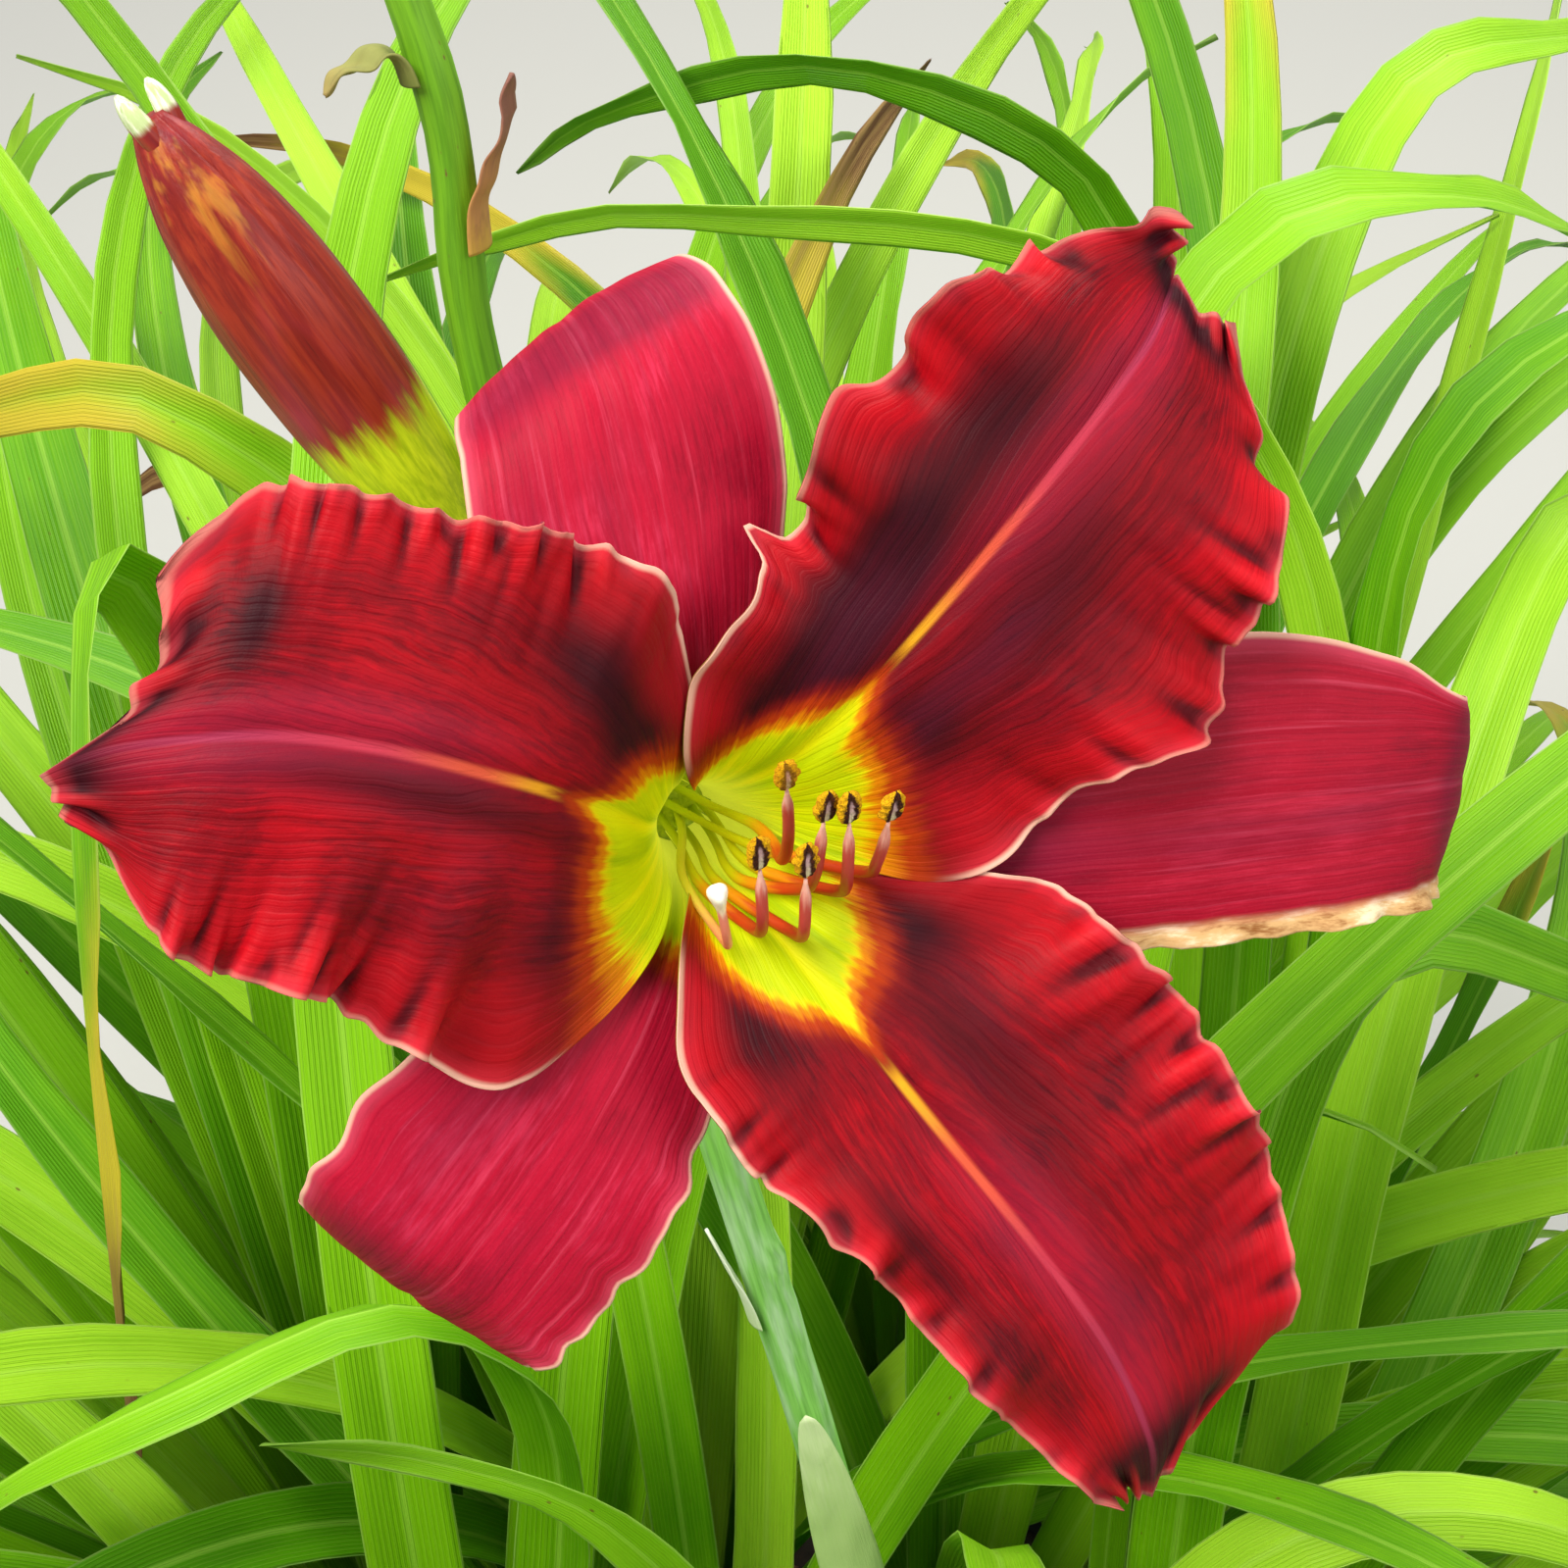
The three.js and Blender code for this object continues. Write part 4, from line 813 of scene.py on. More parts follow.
def scape_material():
    paint = Graph("scape_skin")
    up = paint.read("along")
    streak = paint.noise((1.2, 1.2, 0.05), 4, 0.6)
    mottle = paint.noise((0.25, 0.25, 0.08), 4, 0.6)
    bloom = paint.noise((0.3, 0.3, 0.05), 3, 0.55, (4, 2, 0)).rise(0.42, 0.7) * up.rise(0.72, 0.6)
    specks = paint.specks((0.8, 0.8, 0.35), 0.16, 0.05)
    colour = paint.coats(
        paint.ramp(up, (0.0, "74ac40"), (0.4, "8cc462"), (0.62, "86c25a"), (0.74, "74b428"), (0.9, "6ca61a"),
                   (1.0, "7eb424")),
        (streak.rise(0.35, 0.7) * 0.45, "3c7d22", "MULTIPLY"),
        (bloom * 0.55, "c9dcc0"),
        (specks * up.rise(0.7, 0.85) * mottle.rise(0.45, 0.62), "6b4a2c"),
        (up.rise(0.08, 0.0), "c8cf9a"))
    return paint.surface(colour, (mottle * 0.2 + 0.45).clip(), Normal=paint.bump(streak + mottle * 0.5, 0.16),
                         Specular_IOR_Level=0.3)


def make_scape():
    def shape(turn, share):
        swell = sum(size * np.exp(-((share - at) / 0.008)**2) for at, size in SCAPE_KNOTS)
        knob = 0.35 * np.exp(-((share - 0.612) / 0.006)**2) * np.maximum(np.cos(turn - 1.1), 0)**4
        return 1 + swell + knob + 0.022 * np.cos(5 * turn) + 0.012 * np.cos(9 * turn + 12 * share)

    rings, rest, share = round_rings(evenly(SCAPE_PATH, 150), scape_radius, 28, shape)
    Pile().lofted(rings, rest, along=share, tone=0.5).piece("scape_stem", scape_material(), "scape", "scape")


def bloom_basis():
    heading, rise = math.radians(BLOOM_HEADING), math.radians(BLOOM_RISE)
    axis = np.array([math.cos(rise) * math.cos(heading), math.cos(rise) * math.sin(heading), math.sin(rise)])
    right = np.array([-math.sin(heading), math.cos(heading), 0])
    return np.stack([right, np.cross(axis, right), axis])


BLOOM = bloom_basis()


def to_part(points):
    """From the bloom's own frame to the part's."""
    return np.asarray(points, float) @ BLOOM + BLOOM_FOOT


def stalk_material():
    """Green, and lime towards the end of what has a high tone."""
    paint = Graph("stalk_skin")
    streak = paint.noise((1.5, 1.5, 0.08), 4, 0.6)
    green, lime = (paint.ramp(streak, (0.3, low), (0.7, high)) for low, high in
                   (("5f9a2c", "93c650"), ("a8bd12", "cfdc2e")))
    colour = paint.blend((paint.read("along") * paint.read("tone")).rise(0.1, 0.6), green, lime)
    return paint.surface(colour, 0.42, Normal=paint.bump(streak, 0.1), Subsurface_Weight=0.15,
                         Subsurface_Radius=(0.002, 0.003, 0.0006), Subsurface_Scale=0.5)


def make_stalks():
    look = stalk_material()
    fork, foot = np.array(FORK, float), np.array(BLOOM_FOOT, float)
    back = lambda distance: foot - BLOOM[2] * distance
    sag = lerp(fork, back(24), 0.5) + [2, 0, -3]
    path = evenly([fork, sag, back(18), back(9), foot], TUBE["steps"])
    cut = round(TUBE["stalk_share"] * TUBE["steps"])
    tube_path = path[cut:].copy()
    tube_path[0] += 2 * GAP * unit(tube_path[1] - tube_path[0])

    def tube_radius(share):
        low = lerp(TUBE["root"], TUBE["waist"], np.sin(share * PI))
        high = lerp(TUBE["waist"], TUBE["foot"], smooth(share, 0.45, 1))
        return np.where(share < 0.45, low, high)

    flare = lambda turn, share: 1 + 0.16 * np.exp(-((1 - share) / 0.12)**2) + 0.03 * np.cos(3 * turn)
    ribs = lambda turn, share: 1 + 0.045 * np.cos(6 * turn) * smooth(share, 0.1, 0.6)
    bud_foot, bud_tip = np.array(BUD["foot"]), np.array(BUD["tip"])
    joint = bud_foot - 3 * GAP * unit(bud_tip - bud_foot)
    bud_path = evenly([fork, lerp(fork, joint, 0.5), joint], 20)
    for name, slot, line, radius, sides, shape, tone in (
            ("bloom_stalk", "stalk", evenly(path[:cut + 1], 24), STALK_RADIUS, 20, flare, 0.3),
            ("perianth_tube", "tube", evenly(tube_path, 48), tube_radius, 36, ribs, 1.0),
            ("bud_stalk", "stalk", bud_path, STALK_RADIUS, 20, flare, 1.0)):
        rings, rest, share = round_rings(line, radius, sides, shape)
        Pile().lofted(rings, rest, along=share, tone=tone).piece(name + "_skin", look, slot, name)


# ---------------------------------------------------------------- petals and sepals

def sided(u, pair):
    """The first of a pair of values on the clockwise side, and the second on the other."""
    return np.where(u >= 0, pair[1], pair[0])


def tepal_half(tepal, t, u):
    """Distance of the margin from the midrib on the side of u, in millimetres."""
    rows, swap = tepal["rows"], smooth(u, -0.15, 0.15)
    return along(rows, 4, t) * (1 - swap) + along(rows, 5, t) * swap


def tepal_middle(tepal, t, u):
    """The tepal's middle layer in the bloom's frame: t along it, u across it from -1 to 1."""
    rows, step = tepal["rows"], 1e-3
    low, high = np.maximum(t - step, 0), np.minimum(t + step, 1)
    out, up = (along(rows, column, high) - along(rows, column, low) for column in (1, 2))
    size = np.hypot(out, up)
    out, up = out / size, up / size
    half = tepal_half(tepal, t, u)
    across = u * half
    free = smooth(t, 0.12, 0.4)
    wave, waves, phase = (sided(u, tepal[key]) for key in ("wave", "waves", "phase"))
    ruffle = wave * smooth(t, 0.26, 0.5) * np.abs(u)**2.2
    lift = tepal["bow"] * u * u * half * free + ruffle * np.sin(2 * PI * waves * t + phase)
    end = tepal["notch"] * (1 - np.abs(u))**2 * smooth(t, 0.86, 1)
    r = np.maximum(along(rows, 1, t) * (1 + tepal["skew"] * u * free) - end, 0.1)
    turn = np.arctan2(across, r)
    radius = lerp(r, np.hypot(r, across), free)
    azimuth = np.radians(along(rows, 3, t))
    lean = azimuth + turn * (1 - free)
    return np.stack([
        radius * np.cos(azimuth + turn) - up * lift * np.cos(lean),
        radius * np.sin(azimuth + turn) - up * lift * np.sin(lean),
        along(rows, 2, t) + out * lift,
    ], -1)


def tepal_normal(tepal, t, u):
    step = 2e-3
    ahead = tepal_middle(tepal, np.minimum(t + step, 1), u) - tepal_middle(tepal, np.maximum(t - step, 0), u)
    across = tepal_middle(tepal, t, np.minimum(u + step, 1)) - tepal_middle(tepal, t, np.maximum(u - step, -1))
    return unit(np.cross(ahead, across))


# What the looks add to each tepal. A pair is for the clockwise and for the other side.
# frill, frills: height in mm and number of the margin's frills. nick: how far the margin is nicked.
# groove: depth of the groove along the midrib. throat: where the yellow ends at the clockwise margin,
# at the midrib and at the other margin. cut: for each side, how much shorter the end is next to the
# midrib and at the margin. reach: rows of share of the length, the margin's distance against the plain
# one, and its curl in mm. teeth: side, share of the length, width and size.
# dark: share of the length and place across of each patch of painted shade, how far it reaches along and
# across, and its strength
PLAIN_REACH = [[0, 1, 0], [0.5, 1, 0], [1, 1, 0]]
PLAIN_RELIEF = dict(cut=((0, 0), (0, 0)), teeth=(), reach=(PLAIN_REACH, PLAIN_REACH))
RELIEF = {name: PLAIN_RELIEF | own for name, own in {
    "petal_upper": dict(
        frill=(2.3, 2.4), frills=(14, 13), nick=0.009, groove=0.6, seed=1, throat=(0.25, 0.34, 0.17),
        cut=((0.05, 0.05), (0, 0)), teeth=[(1, 0.465, 0.011, 0.24)],
        reach=(
            [[0, 1, 0], [0.15, 1.05, 0], [0.24, 1.35, 2.5], [0.3, 1.46, 3], [0.4, 1.12, 1.5], [0.5, 1, 0],
             [0.6, 1.16, 1], [0.68, 1.04, -1], [0.8, 1, 0.5], [0.88, 1, 0], [0.94, 0.86, 0.5], [1, 0.6, -1]],
            [[0, 1, 0], [0.12, 1.05, 0.5], [0.24, 1.25, 4], [0.32, 1.2, 4], [0.42, 1, 2], [0.5, 0.9, -1],
             [0.555, 1.1, 1], [0.61, 1.2, 1.5], [0.68, 0.93, -1.5], [0.76, 1.1, 1], [0.84, 0.95, -1],
             [0.92, 1.04, 0.5], [1, 0.9, 0]]),
        dark=[(0.37, 0.45, 0.09, 0.4, 1.0), (0.5, 0.4, 0.14, 0.3, 0.95), (0.72, 0.4, 0.12, 0.3, 0.6),
              (0.4, -0.35, 0.07, 0.3, 0.45), (0.6, -0.3, 0.22, 0.3, 0.5), (0.99, 0, 0.06, 1.5, 1.0)]),
    "petal_left": dict(
        frill=(2.1, 2.3), frills=(18, 16), nick=0.009, groove=0.6, seed=2, throat=(0.2, 0.32, 0.25),
        cut=((0.05, 0.035), (0, 0)),
        reach=(
            [[0, 1, 0], [0.15, 1.1, 0], [0.3, 1.26, 1.5], [0.4, 1.2, 1], [0.5, 1.02, 0], [0.6, 0.94, 0],
             [0.7, 0.87, 0.5], [0.8, 0.97, 0], [0.88, 1.13, 0.3], [0.93, 1.28, 0.5], [0.965, 1.4, 0.3],
             [0.985, 1.48, 0], [1, 1.5, 0]],
            [[0, 1, 0], [0.15, 1.1, 0], [0.24, 1.35, 2.5], [0.32, 1.36, 2], [0.42, 1.14, 1], [0.55, 1.04, 0],
             [0.62, 1, -0.5], [0.7, 1, 0.5], [0.8, 1.02, 0], [1, 0.8, 0]]),
        dark=[(0.34, -0.6, 0.08, 0.4, 1.0), (0.46, -0.6, 0.12, 0.3, 0.6), (0.34, 0.4, 0.06, 0.5, 0.6),
              (0.6, 0.12, 0.3, 0.12, 0.5), (0.88, -0.5, 0.05, 0.3, 0.7), (1.0, 0, 0.05, 1, 0.9)]),
    "petal_lower": dict(
        frill=(2.2, 2.2), frills=(15, 18), nick=0.009, groove=0.55, seed=3, throat=(0.2, 0.36, 0.23),
        reach=(
            [[0, 1, 0], [0.15, 1.05, 0.5], [0.25, 1.12, 4], [0.35, 1.16, 4], [0.45, 1.04, 2], [0.6, 0.9, 0],
             [0.7, 0.94, -0.5], [0.8, 1, 0.5], [1, 1, 0]],
            [[0, 1, 0], [0.15, 1, 0], [0.3, 1.05, -0.5], [0.4, 1.12, 0.5], [0.5, 1.05, 0], [0.6, 1.05, 0],
             [0.7, 0.98, 0], [0.8, 1.01, 0], [0.9, 0.98, 0], [0.95, 1.12, 0], [0.968, 1.28, 0], [0.98, 1.1, 0],
             [1, 1.25, 0]]),
        dark=[(0.35, 0.6, 0.07, 0.5, 0.7), (0.48, 0.35, 0.1, 0.3, 0.35), (0.36, -0.5, 0.08, 0.4, 0.6),
              (0.6, 0.3, 0.2, 0.2, 0.35), (0.62, -0.6, 0.14, 0.2, 0.5), (0.98, 0, 0.05, 1.5, 0.9)]),
    "sepal_top": dict(
        frill=(0.12, 0.12), frills=(7, 8), nick=0.004, groove=0.25, seed=4, throat=(0.22, 0.24, 0.22),
        dark=[(0.77, -0.3, 0.06, 1.2, 0.95), (0.6, 0.6, 0.3, 0.3, 0.3)]),
    "sepal_right": dict(
        frill=(0.7, 0.2), frills=(15, 8), nick=0.006, groove=0.25, seed=5, throat=(0.22, 0.24, 0.22),
        reach=(PLAIN_REACH, [[0, 1, 0], [0.3, 1.05, 0], [0.45, 1.18, 0], [0.6, 1.15, 0], [0.72, 0.98, 0],
                             [0.82, 0.78, 0], [0.9, 0.85, 0], [1, 0.9, 0]]),
        dark=[(0.36, 0, 0.1, 1, 0.6), (0.55, -0.2, 0.25, 0.2, 0.35), (0.84, 0, 0.05, 1, 1.0)]),
    "sepal_left": dict(
        frill=(0.2, 0.7), frills=(7, 12), nick=0.022, groove=0.25, seed=6, throat=(0.22, 0.24, 0.22),
        dark=[(0.5, -0.5, 0.2, 0.3, 0.4), (0.75, -0.3, 0.06, 1, 0.5)]),
}.items()}
EDGE_LIMIT = 0.94


def tepal_surface(name, t, u):
    """The middle layer with the margin's own reach, curl and teeth, but without its fine relief."""
    relief, side = RELIEF[name], np.abs(u)
    count = sided(u, relief["frills"])
    phase = relief["seed"] * 1.3 + 2 * (u >= 0)
    nick = np.sin(2 * PI * count * t + phase) + 0.6 * np.sin(2 * PI * 1.6 * count * t + 2.1 * phase)
    reach, curl = (sided(u, [along(rows, column, t) for rows in relief["reach"]]) for column in (1, 2))
    out = reach - 1 + relief["nick"] * (nick - 0.6) * smooth(t, 0.3, 0.5)
    for way, at, width, size in relief["teeth"]:
        out = out + (np.sign(u) == way) * size * np.exp(-((t - at) / width)**2)
    inner, outer = (sided(u, [pair[k] for pair in relief["cut"]]) for k in (0, 1))
    short = inner * smooth(side, 0.04, 0.3) + (outer - inner) * smooth(side, 0.5, 1)
    middle = tepal_middle(TEPALS[name], t * (1 - short * smooth(t, 0.8, 1)), u * (1 + out * smooth(side, 0.35, 1)))
    return middle + tepal_normal(TEPALS[name], t, u * EDGE_LIMIT) * (curl * side**3.5)[..., None]


def tepal_relief(name, t, u, half):
    """Height of the fine relief in millimetres, and how deep or high the pleats are, about -1 to 1."""
    relief, edge = RELIEF[name], np.abs(u)
    draw = np.random.default_rng(relief["seed"])
    frills = sided(u, relief["frills"])
    phase = sided(u, draw.uniform(0, 2 * PI, 2))
    drift = 1.3 * np.sin(2 * PI * 2.3 * t + phase) + 0.8 * np.sin(2 * PI * 4.1 * t + 2 * phase)
    wave = (np.sin(2 * PI * frills * (t + 0.07 * (1 - edge)) + phase + drift)
            + 0.5 * np.sin(2 * PI * 1.8 * frills * t + 2.3 * drift)) / 1.5
    strength = 0.55 + 0.45 * np.sin(2 * PI * 1.9 * t + 1.7 * phase) * np.sin(2 * PI * 3.7 * t + phase)
    wave = strength * smooth(t, 0.3, 0.48) * wave
    across = edge * half
    spine = relief["groove"] * smooth(t, 0.1, 0.3) * smooth(t, 1.0, 0.8)
    ridges = 0.45 * np.exp(-((across - 2.9) / 1.5)**2) - np.exp(-(across / 1.3)**2)
    swell = 0.05 * np.sin(across * 2 * PI / 4.3 + 3 * t + phase) + 0.35 * np.sin(9 * t + 2.5 * u + phase) * edge
    height = (sided(u, relief["frill"]) * wave * (0.6 * edge**7 + 0.4 * edge**3) + spine * ridges
              + swell * smooth(t, 0.25, 0.5) * (1 - edge**2))
    # Crinkles across the end. Sepals have as much less of both as their frills are lower
    end = smooth(t, 0.93, 1) * smooth(edge, 0.12, 0.4) * np.sin(2 * PI * 2.7 * u + phase)
    depth = min(1, relief["frill"][1])
    return height + 1.1 * depth * end, depth * (wave * edge**4 + 0.7 * end)


# How strong the painted shade is at each place of a tepal, from its dark patches
def painted_shade_patches(name, t, u):
    light = np.ones_like(t)
    for at, across, long, wide, strength in RELIEF[name]["dark"]:
        light = light * (1 - strength * np.exp(-((t - at) / long)**2 - ((u - across) / wide)**2))
    return 1 - light


def throat_distance(name, t, u):
    """How far beyond the end of the throat's yellow a place is, as a share of the length."""
    low, middle, high = RELIEF[name]["throat"]
    end = middle + (sided(u, (low, high)) - middle) * smooth(np.abs(u), 0.05, 0.95)
    return t - end


def tepal_material(kind):
    """Crimson with a yellow throat. kind is petal, sepal or withered, a sepal with a dried margin.

    glow is how far beyond the throat's yellow a place is, tone the pleats' depth, and inner 1 on the
    face that looks out of the bloom.
    """
    petal = kind == "petal"
    paint = Graph(kind + "_skin")
    t, u, edge, inner, beyond, pleat, shade = (paint.read(name) for name in (
        "along", "across", "edge", "inner", "glow", "tone", "shade"))
    side = abs(u)
    soft = paint.noise((0.07, 0.07, 0.05), 3, 0.55)
    wander = paint.noise((0.09, 0.09, 0.05), 2, 0.5, (3, 1, 7))
    bloom = paint.noise((0.1, 0.1, 0.03), 3, 0.5, (9, 0, 4)).rise(0.5, 0.75)
    velvet = paint.noise(2.2, 3, 0.6)
    # Veins leave the midrib at a shallow angle and run out to the margin
    line = side - t * 0.5 + wander * 0.14 if petal else u + wander * 0.05
    veins, thin_veins, streaks = (13, 37, (24, 5.0)) if petal else (7, 21, (15, 2.0))
    vein = (line * (2 * PI * veins)).sine().rise(0.1, 1.0)
    thin = (line * (2 * PI * thin_veins) + wander * 9).sine().rise(0.2, 1.0)
    streak = paint.noise_at(paint.vector(line * streaks[0], t * streaks[1], inner), 4, 0.6)
    fleck = paint.noise_at(paint.vector(line * 46, t * 32, inner), 3, 0.6)
    patch = (streak * 0.22 + soft * 0.53 + fleck * 0.25).clip()
    # Painted shade: the dark patches, with noise, darken the crimson beyond the throat
    deep = shade * 1.15 + soft * 0.5 + fleck * 0.2 - 0.32
    free = beyond.rise(-0.02, 0.03)
    rim = edge.rise(0.8, 0.25) * beyond.rise(-0.1, 0.0)
    # The body, with patches of painted shade and a purple bloom, and towards the margin a pink zone and a pale rim
    if petal:
        body = paint.ramp(patch, (0.36, "560510"), (0.47, "840412"), (0.56, "a60514"), (0.68, "c60818"))
        dark, pleat_shade_and_highlight = "2c0510", pleat + fleck * 0.12 - 0.06
        rib = (side * edge.rise(0, 8, (0.4, 1))).rise(0.04, 0.01)
        spine = paint.ramp(
            (beyond + 0.3).clip(), (0.0, "c9c800"), (0.34, "f2dc00"), (0.44, "f7b21e"), (0.54, "e8603e"),
            (0.68, "c93c50"), (0.85, "a33250"), (1.0, "6e1a30"))
        colour = paint.coats(
            body,
            (vein * soft.rise(0.35, 0.6) * 0.2, dark),
            (thin * 0.08, dark),
            (streak.rise(0.55, 0.72) * 0.04, "d62c4a"),
            (velvet.rise(0.5, 0.78) * 0.06, "d62c4a"),
            (side.rise(0.34, 0.04) * beyond.rise(0.12, 0.35) * 0.4, "a82444"),
            # Painted shade from the dark patches
            (deep.rise(0.1, 0.85) * free * 0.93, "22040e"),
            (bloom * side.rise(0.75, 0.25) * 0.3, "5e1a34"),
            ((side + soft * 0.4 - 0.2).rise(0.55, 0.85) * 0.6, "bc0a18"),
            # Painted shade in the pleats' valleys and painted highlight on their tops
            (pleat_shade_and_highlight.rise(0.02, -0.32) * 0.85, "30040e"),
            (pleat_shade_and_highlight.rise(0.06, 0.45) * 0.5, "dc1c26"),
            (edge.rise(2.6, 0.3) * 0.45, "dc3444"),
            (rim * t.rise(0.62, 0.4, (0.3, 1)), "eeb49c"),
            (rib * t.rise(1.0, 0.9, (0.1, 0.8)), spine))
    else:
        tones = ("860a22", "a60c28", "c2203c") if kind == "withered" else ("960a26", "b81030", "d22c4c")
        dark, pale = "5c0a24", "e8607a"
        colour = paint.coats(
            paint.ramp(patch, *zip((0.36, 0.5, 0.64), tones)),
            (vein * soft.rise(0.35, 0.6) * 0.16, dark),
            (thin * 0.08, dark),
            (streak.rise(0.55, 0.72) * 0.25, pale),
            (velvet.rise(0.5, 0.78) * 0.06, pale),
            # Painted shade from the dark patches
            (deep.rise(0.1, 0.85) * free * 0.6, "5e1230"),
            (bloom * side.rise(0.75, 0.25) * 0.3, "5e1a34"),
            (edge.rise(2.6, 0.3) * 0.4, pale),
            (rim, "eeb49c"))
    # The throat is yellow-green, and meets the crimson in short orange and red streaks
    fringe = beyond + 0.05 - streak * 0.05 - soft * 0.06 - side.rise(0.13, 0.0) * (0.05 if petal else 0.01)
    throat = paint.coats(
        paint.ramp(paint.noise_at(paint.vector(u * 7, t * 3, inner), 3, 0.5),
                   (0.3, "9cb400"), (0.5, "b8c800"), (0.7, "d0d204")),
        (side.rise(0.1, 0.0) * 0.7, "dcd602"),
        # Painted light: deeper in the throat the yellow is paler, against the shade there
        (t.rise(0.24, 0.08), "e2e640"))
    halo = paint.ramp((fringe * (1 / 0.085)).clip(),
                      (0.0, "e0cc00"), (0.2, "d47c00"), (0.42, "ab3406"), (0.75, "7c1010"), (1.0, "5c0610"))
    colour = paint.coats(colour, (fringe.rise(0.09, 0.045), halo), (fringe.rise(0.012, -0.012), throat))
    # The back is duller, with a yellow-green foot
    back = paint.coats("7a1730", (streak * 0.8, "a83a50"), (t.rise(0.5, 0.12), "a9b52e"))
    colour = paint.blend(inner.rise(0.45, 0.55), back, colour)
    if kind == "withered":
        husk = paint.ramp(paint.noise((0.5, 0.5, 0.12), 5, 0.65),
                          (0.32, "8a5426"), (0.48, "d2a870"), (0.64, "f4e0b8"))
        colour = paint.blend((u * -1).rise(0.8, 0.92) * t.rise(0.3, 0.4), colour, husk)
    relief = velvet * 0.35 + streak * 0.5 - vein * 0.3 - thin * 0.15
    # Painted light: the inner face near the throat glows by emission in its own colour, standing in for light through
    # the throat's pale walls
    painted_throat_glow = fringe.rise(0.02, -0.03) * t.rise(0.42, 0.14, (0.06, 0.5)) * inner.rise(0.45, 0.55)
    return paint.surface(
        colour, (velvet * 0.18 + 0.45 + edge.rise(2, 0) * 0.1).clip(), 0.16,
        Normal=paint.bump(relief, 0.12 if petal else 0.1), Specular_IOR_Level=0.13, Emission_Color=colour,
        Emission_Strength=painted_throat_glow)


def make_tepals():
    looks = {kind: tepal_material(kind) for kind in ("petal", "sepal", "withered")}
    for number, name in enumerate(TEPALS):
        slot = name.split("_")[0]
        kind = "withered" if name == "sepal_right" else slot
        long, wide = (190, 80) if kind == "petal" else (110, 50)
        lean = np.linspace(-1, 1, wide + 1)
        t, u = np.broadcast_arrays(np.linspace(0, 1, long + 1)[:, None],
                                   (np.sign(lean) * (1 - (1 - np.abs(lean))**1.35))[None, :])
        half = tepal_half(TEPALS[name], t, u)
        height, pleat = tepal_relief(name, t, u, half)
        roll = 0 * t
        if kind == "withered":
            roll = smooth(-u, 0.86, 1) * smooth(t, 0.3, 0.5)
            height = height + roll * (1 + 0.5 * np.sin(2 * PI * 9 * t + 1) + 0.3 * np.sin(2 * PI * 23 * t))
        facing = tepal_normal(TEPALS[name], t, u * EDGE_LIMIT)
        middle = tepal_surface(name, t, u) + facing * height[..., None]
        rise_t, rise_u = np.gradient(middle, axis=(0, 1))
        normal = unit(np.cross(rise_t, rise_u))
        length = path_length(middle[:, wide // 2])
        edge = np.minimum((1 - np.abs(u)) * half, (1 - t) * length)
        thick = TEPAL_THICK / 2 * lerp(0.34, 1, smooth(edge, 0, 5)) * lerp(1, 0.75, smooth(t, 0.3, 0.9))
        thick = (thick * (1 + 1.4 * roll))[..., None]
        rest = columns(both(u * half) + 60 * number, 0, both(t * length))
        skin = Pile().lofted(
            both(middle + normal * thick, middle - normal * thick), rest, along=both(t), across=both(u),
            edge=both(edge), inner=both(np.ones_like(t), np.zeros_like(t)), tone=both(pleat),
            glow=both(throat_distance(name, t, u)), shade=both(painted_shade_patches(name, t, u)))
        skin.piece(name + "_skin", looks[kind], slot, name, place=to_part)


# ---------------------------------------------------------------- stamens and style

def filament_path(foot, course):
    low, tip = np.array(course["low"], float), np.array(course["tip"], float)
    arc = around(THROAT["arc_radius"], course["bend"], THROAT["arc_height"])
    waist = lerp(foot, arc, 0.35) * [1, 1, 0]
    waist = waist * min(1, THROAT["waist_radius"] / max(np.linalg.norm(waist), 1e-9))
    waist[2] = THROAT["waist_height"]
    turn_up = lerp(low, tip, 0.45) + [0, 0.22 * low[1], 1.5]
    return evenly([foot, waist, arc, low, turn_up, tip], FILAMENT["steps"], 120)


def thread_radius(share):
    """A filament swells beyond the throat and is drawn in where it holds the anther."""
    plain = lerp(FILAMENT["radius"], FILAMENT["tip"], share)
    return plain * lerp(1, 1.6, smooth(share, 0.25, 0.5)) * lerp(1, 0.3, smooth(share, 0.93, 1))


def thread_material(name, waver, relief, stops, rough, **inputs):
    """Colours along a filament or the style. waver is how far they run on along its streaks."""
    paint = Graph(name)
    streak = paint.noise((2, 2, 0.2), 3)
    share = (paint.read("along") + streak * waver - waver / 2).clip()
    return paint.surface(paint.ramp(share, *stops), rough, Normal=paint.bump(streak, relief), Subsurface_Scale=0.6,
                         **inputs)


def anther_material():
    """across runs over the anther's face, inner is 1 on its front, and along runs up it."""
    paint = Graph("anther_pollen")
    side, front, tone, up = (paint.read(name) for name in ("across", "inner", "tone", "along"))
    grain = paint.noise(5.5, 3, 0.7)
    clump = paint.noise((1.3, 1.3, 0.9), 4, 0.7)
    off = abs(side)
    colour = paint.coats(
        paint.ramp(grain, (0.35, "1a0a06"), (0.65, "55260e")),
        ((off * 0.75 + clump * 0.75 + up * 0.35 - 0.2).rise(0.74, 0.92),
         paint.ramp(grain, (0.3, "b87000"), (0.6, "f0b808"))),
        ((off + clump * 0.3 + up * 0.12).rise(0.5, 0.3) * front.rise(0.1, 0.35) * up.rise(0.82, 0.6),
         paint.ramp(up, (0.1, "f0e0b0"), (0.6, "dcb0b0"))),
        (tone.rise(0.5, 0.9) * (clump + up * 0.5).rise(0.4, 0.62),
         paint.ramp(grain, (0.35, "d88000"), (0.62, "fabc08"))))
    return paint.surface(colour, 0.85, Normal=paint.bump(grain + clump, 0.3), Specular_IOR_Level=0.2)


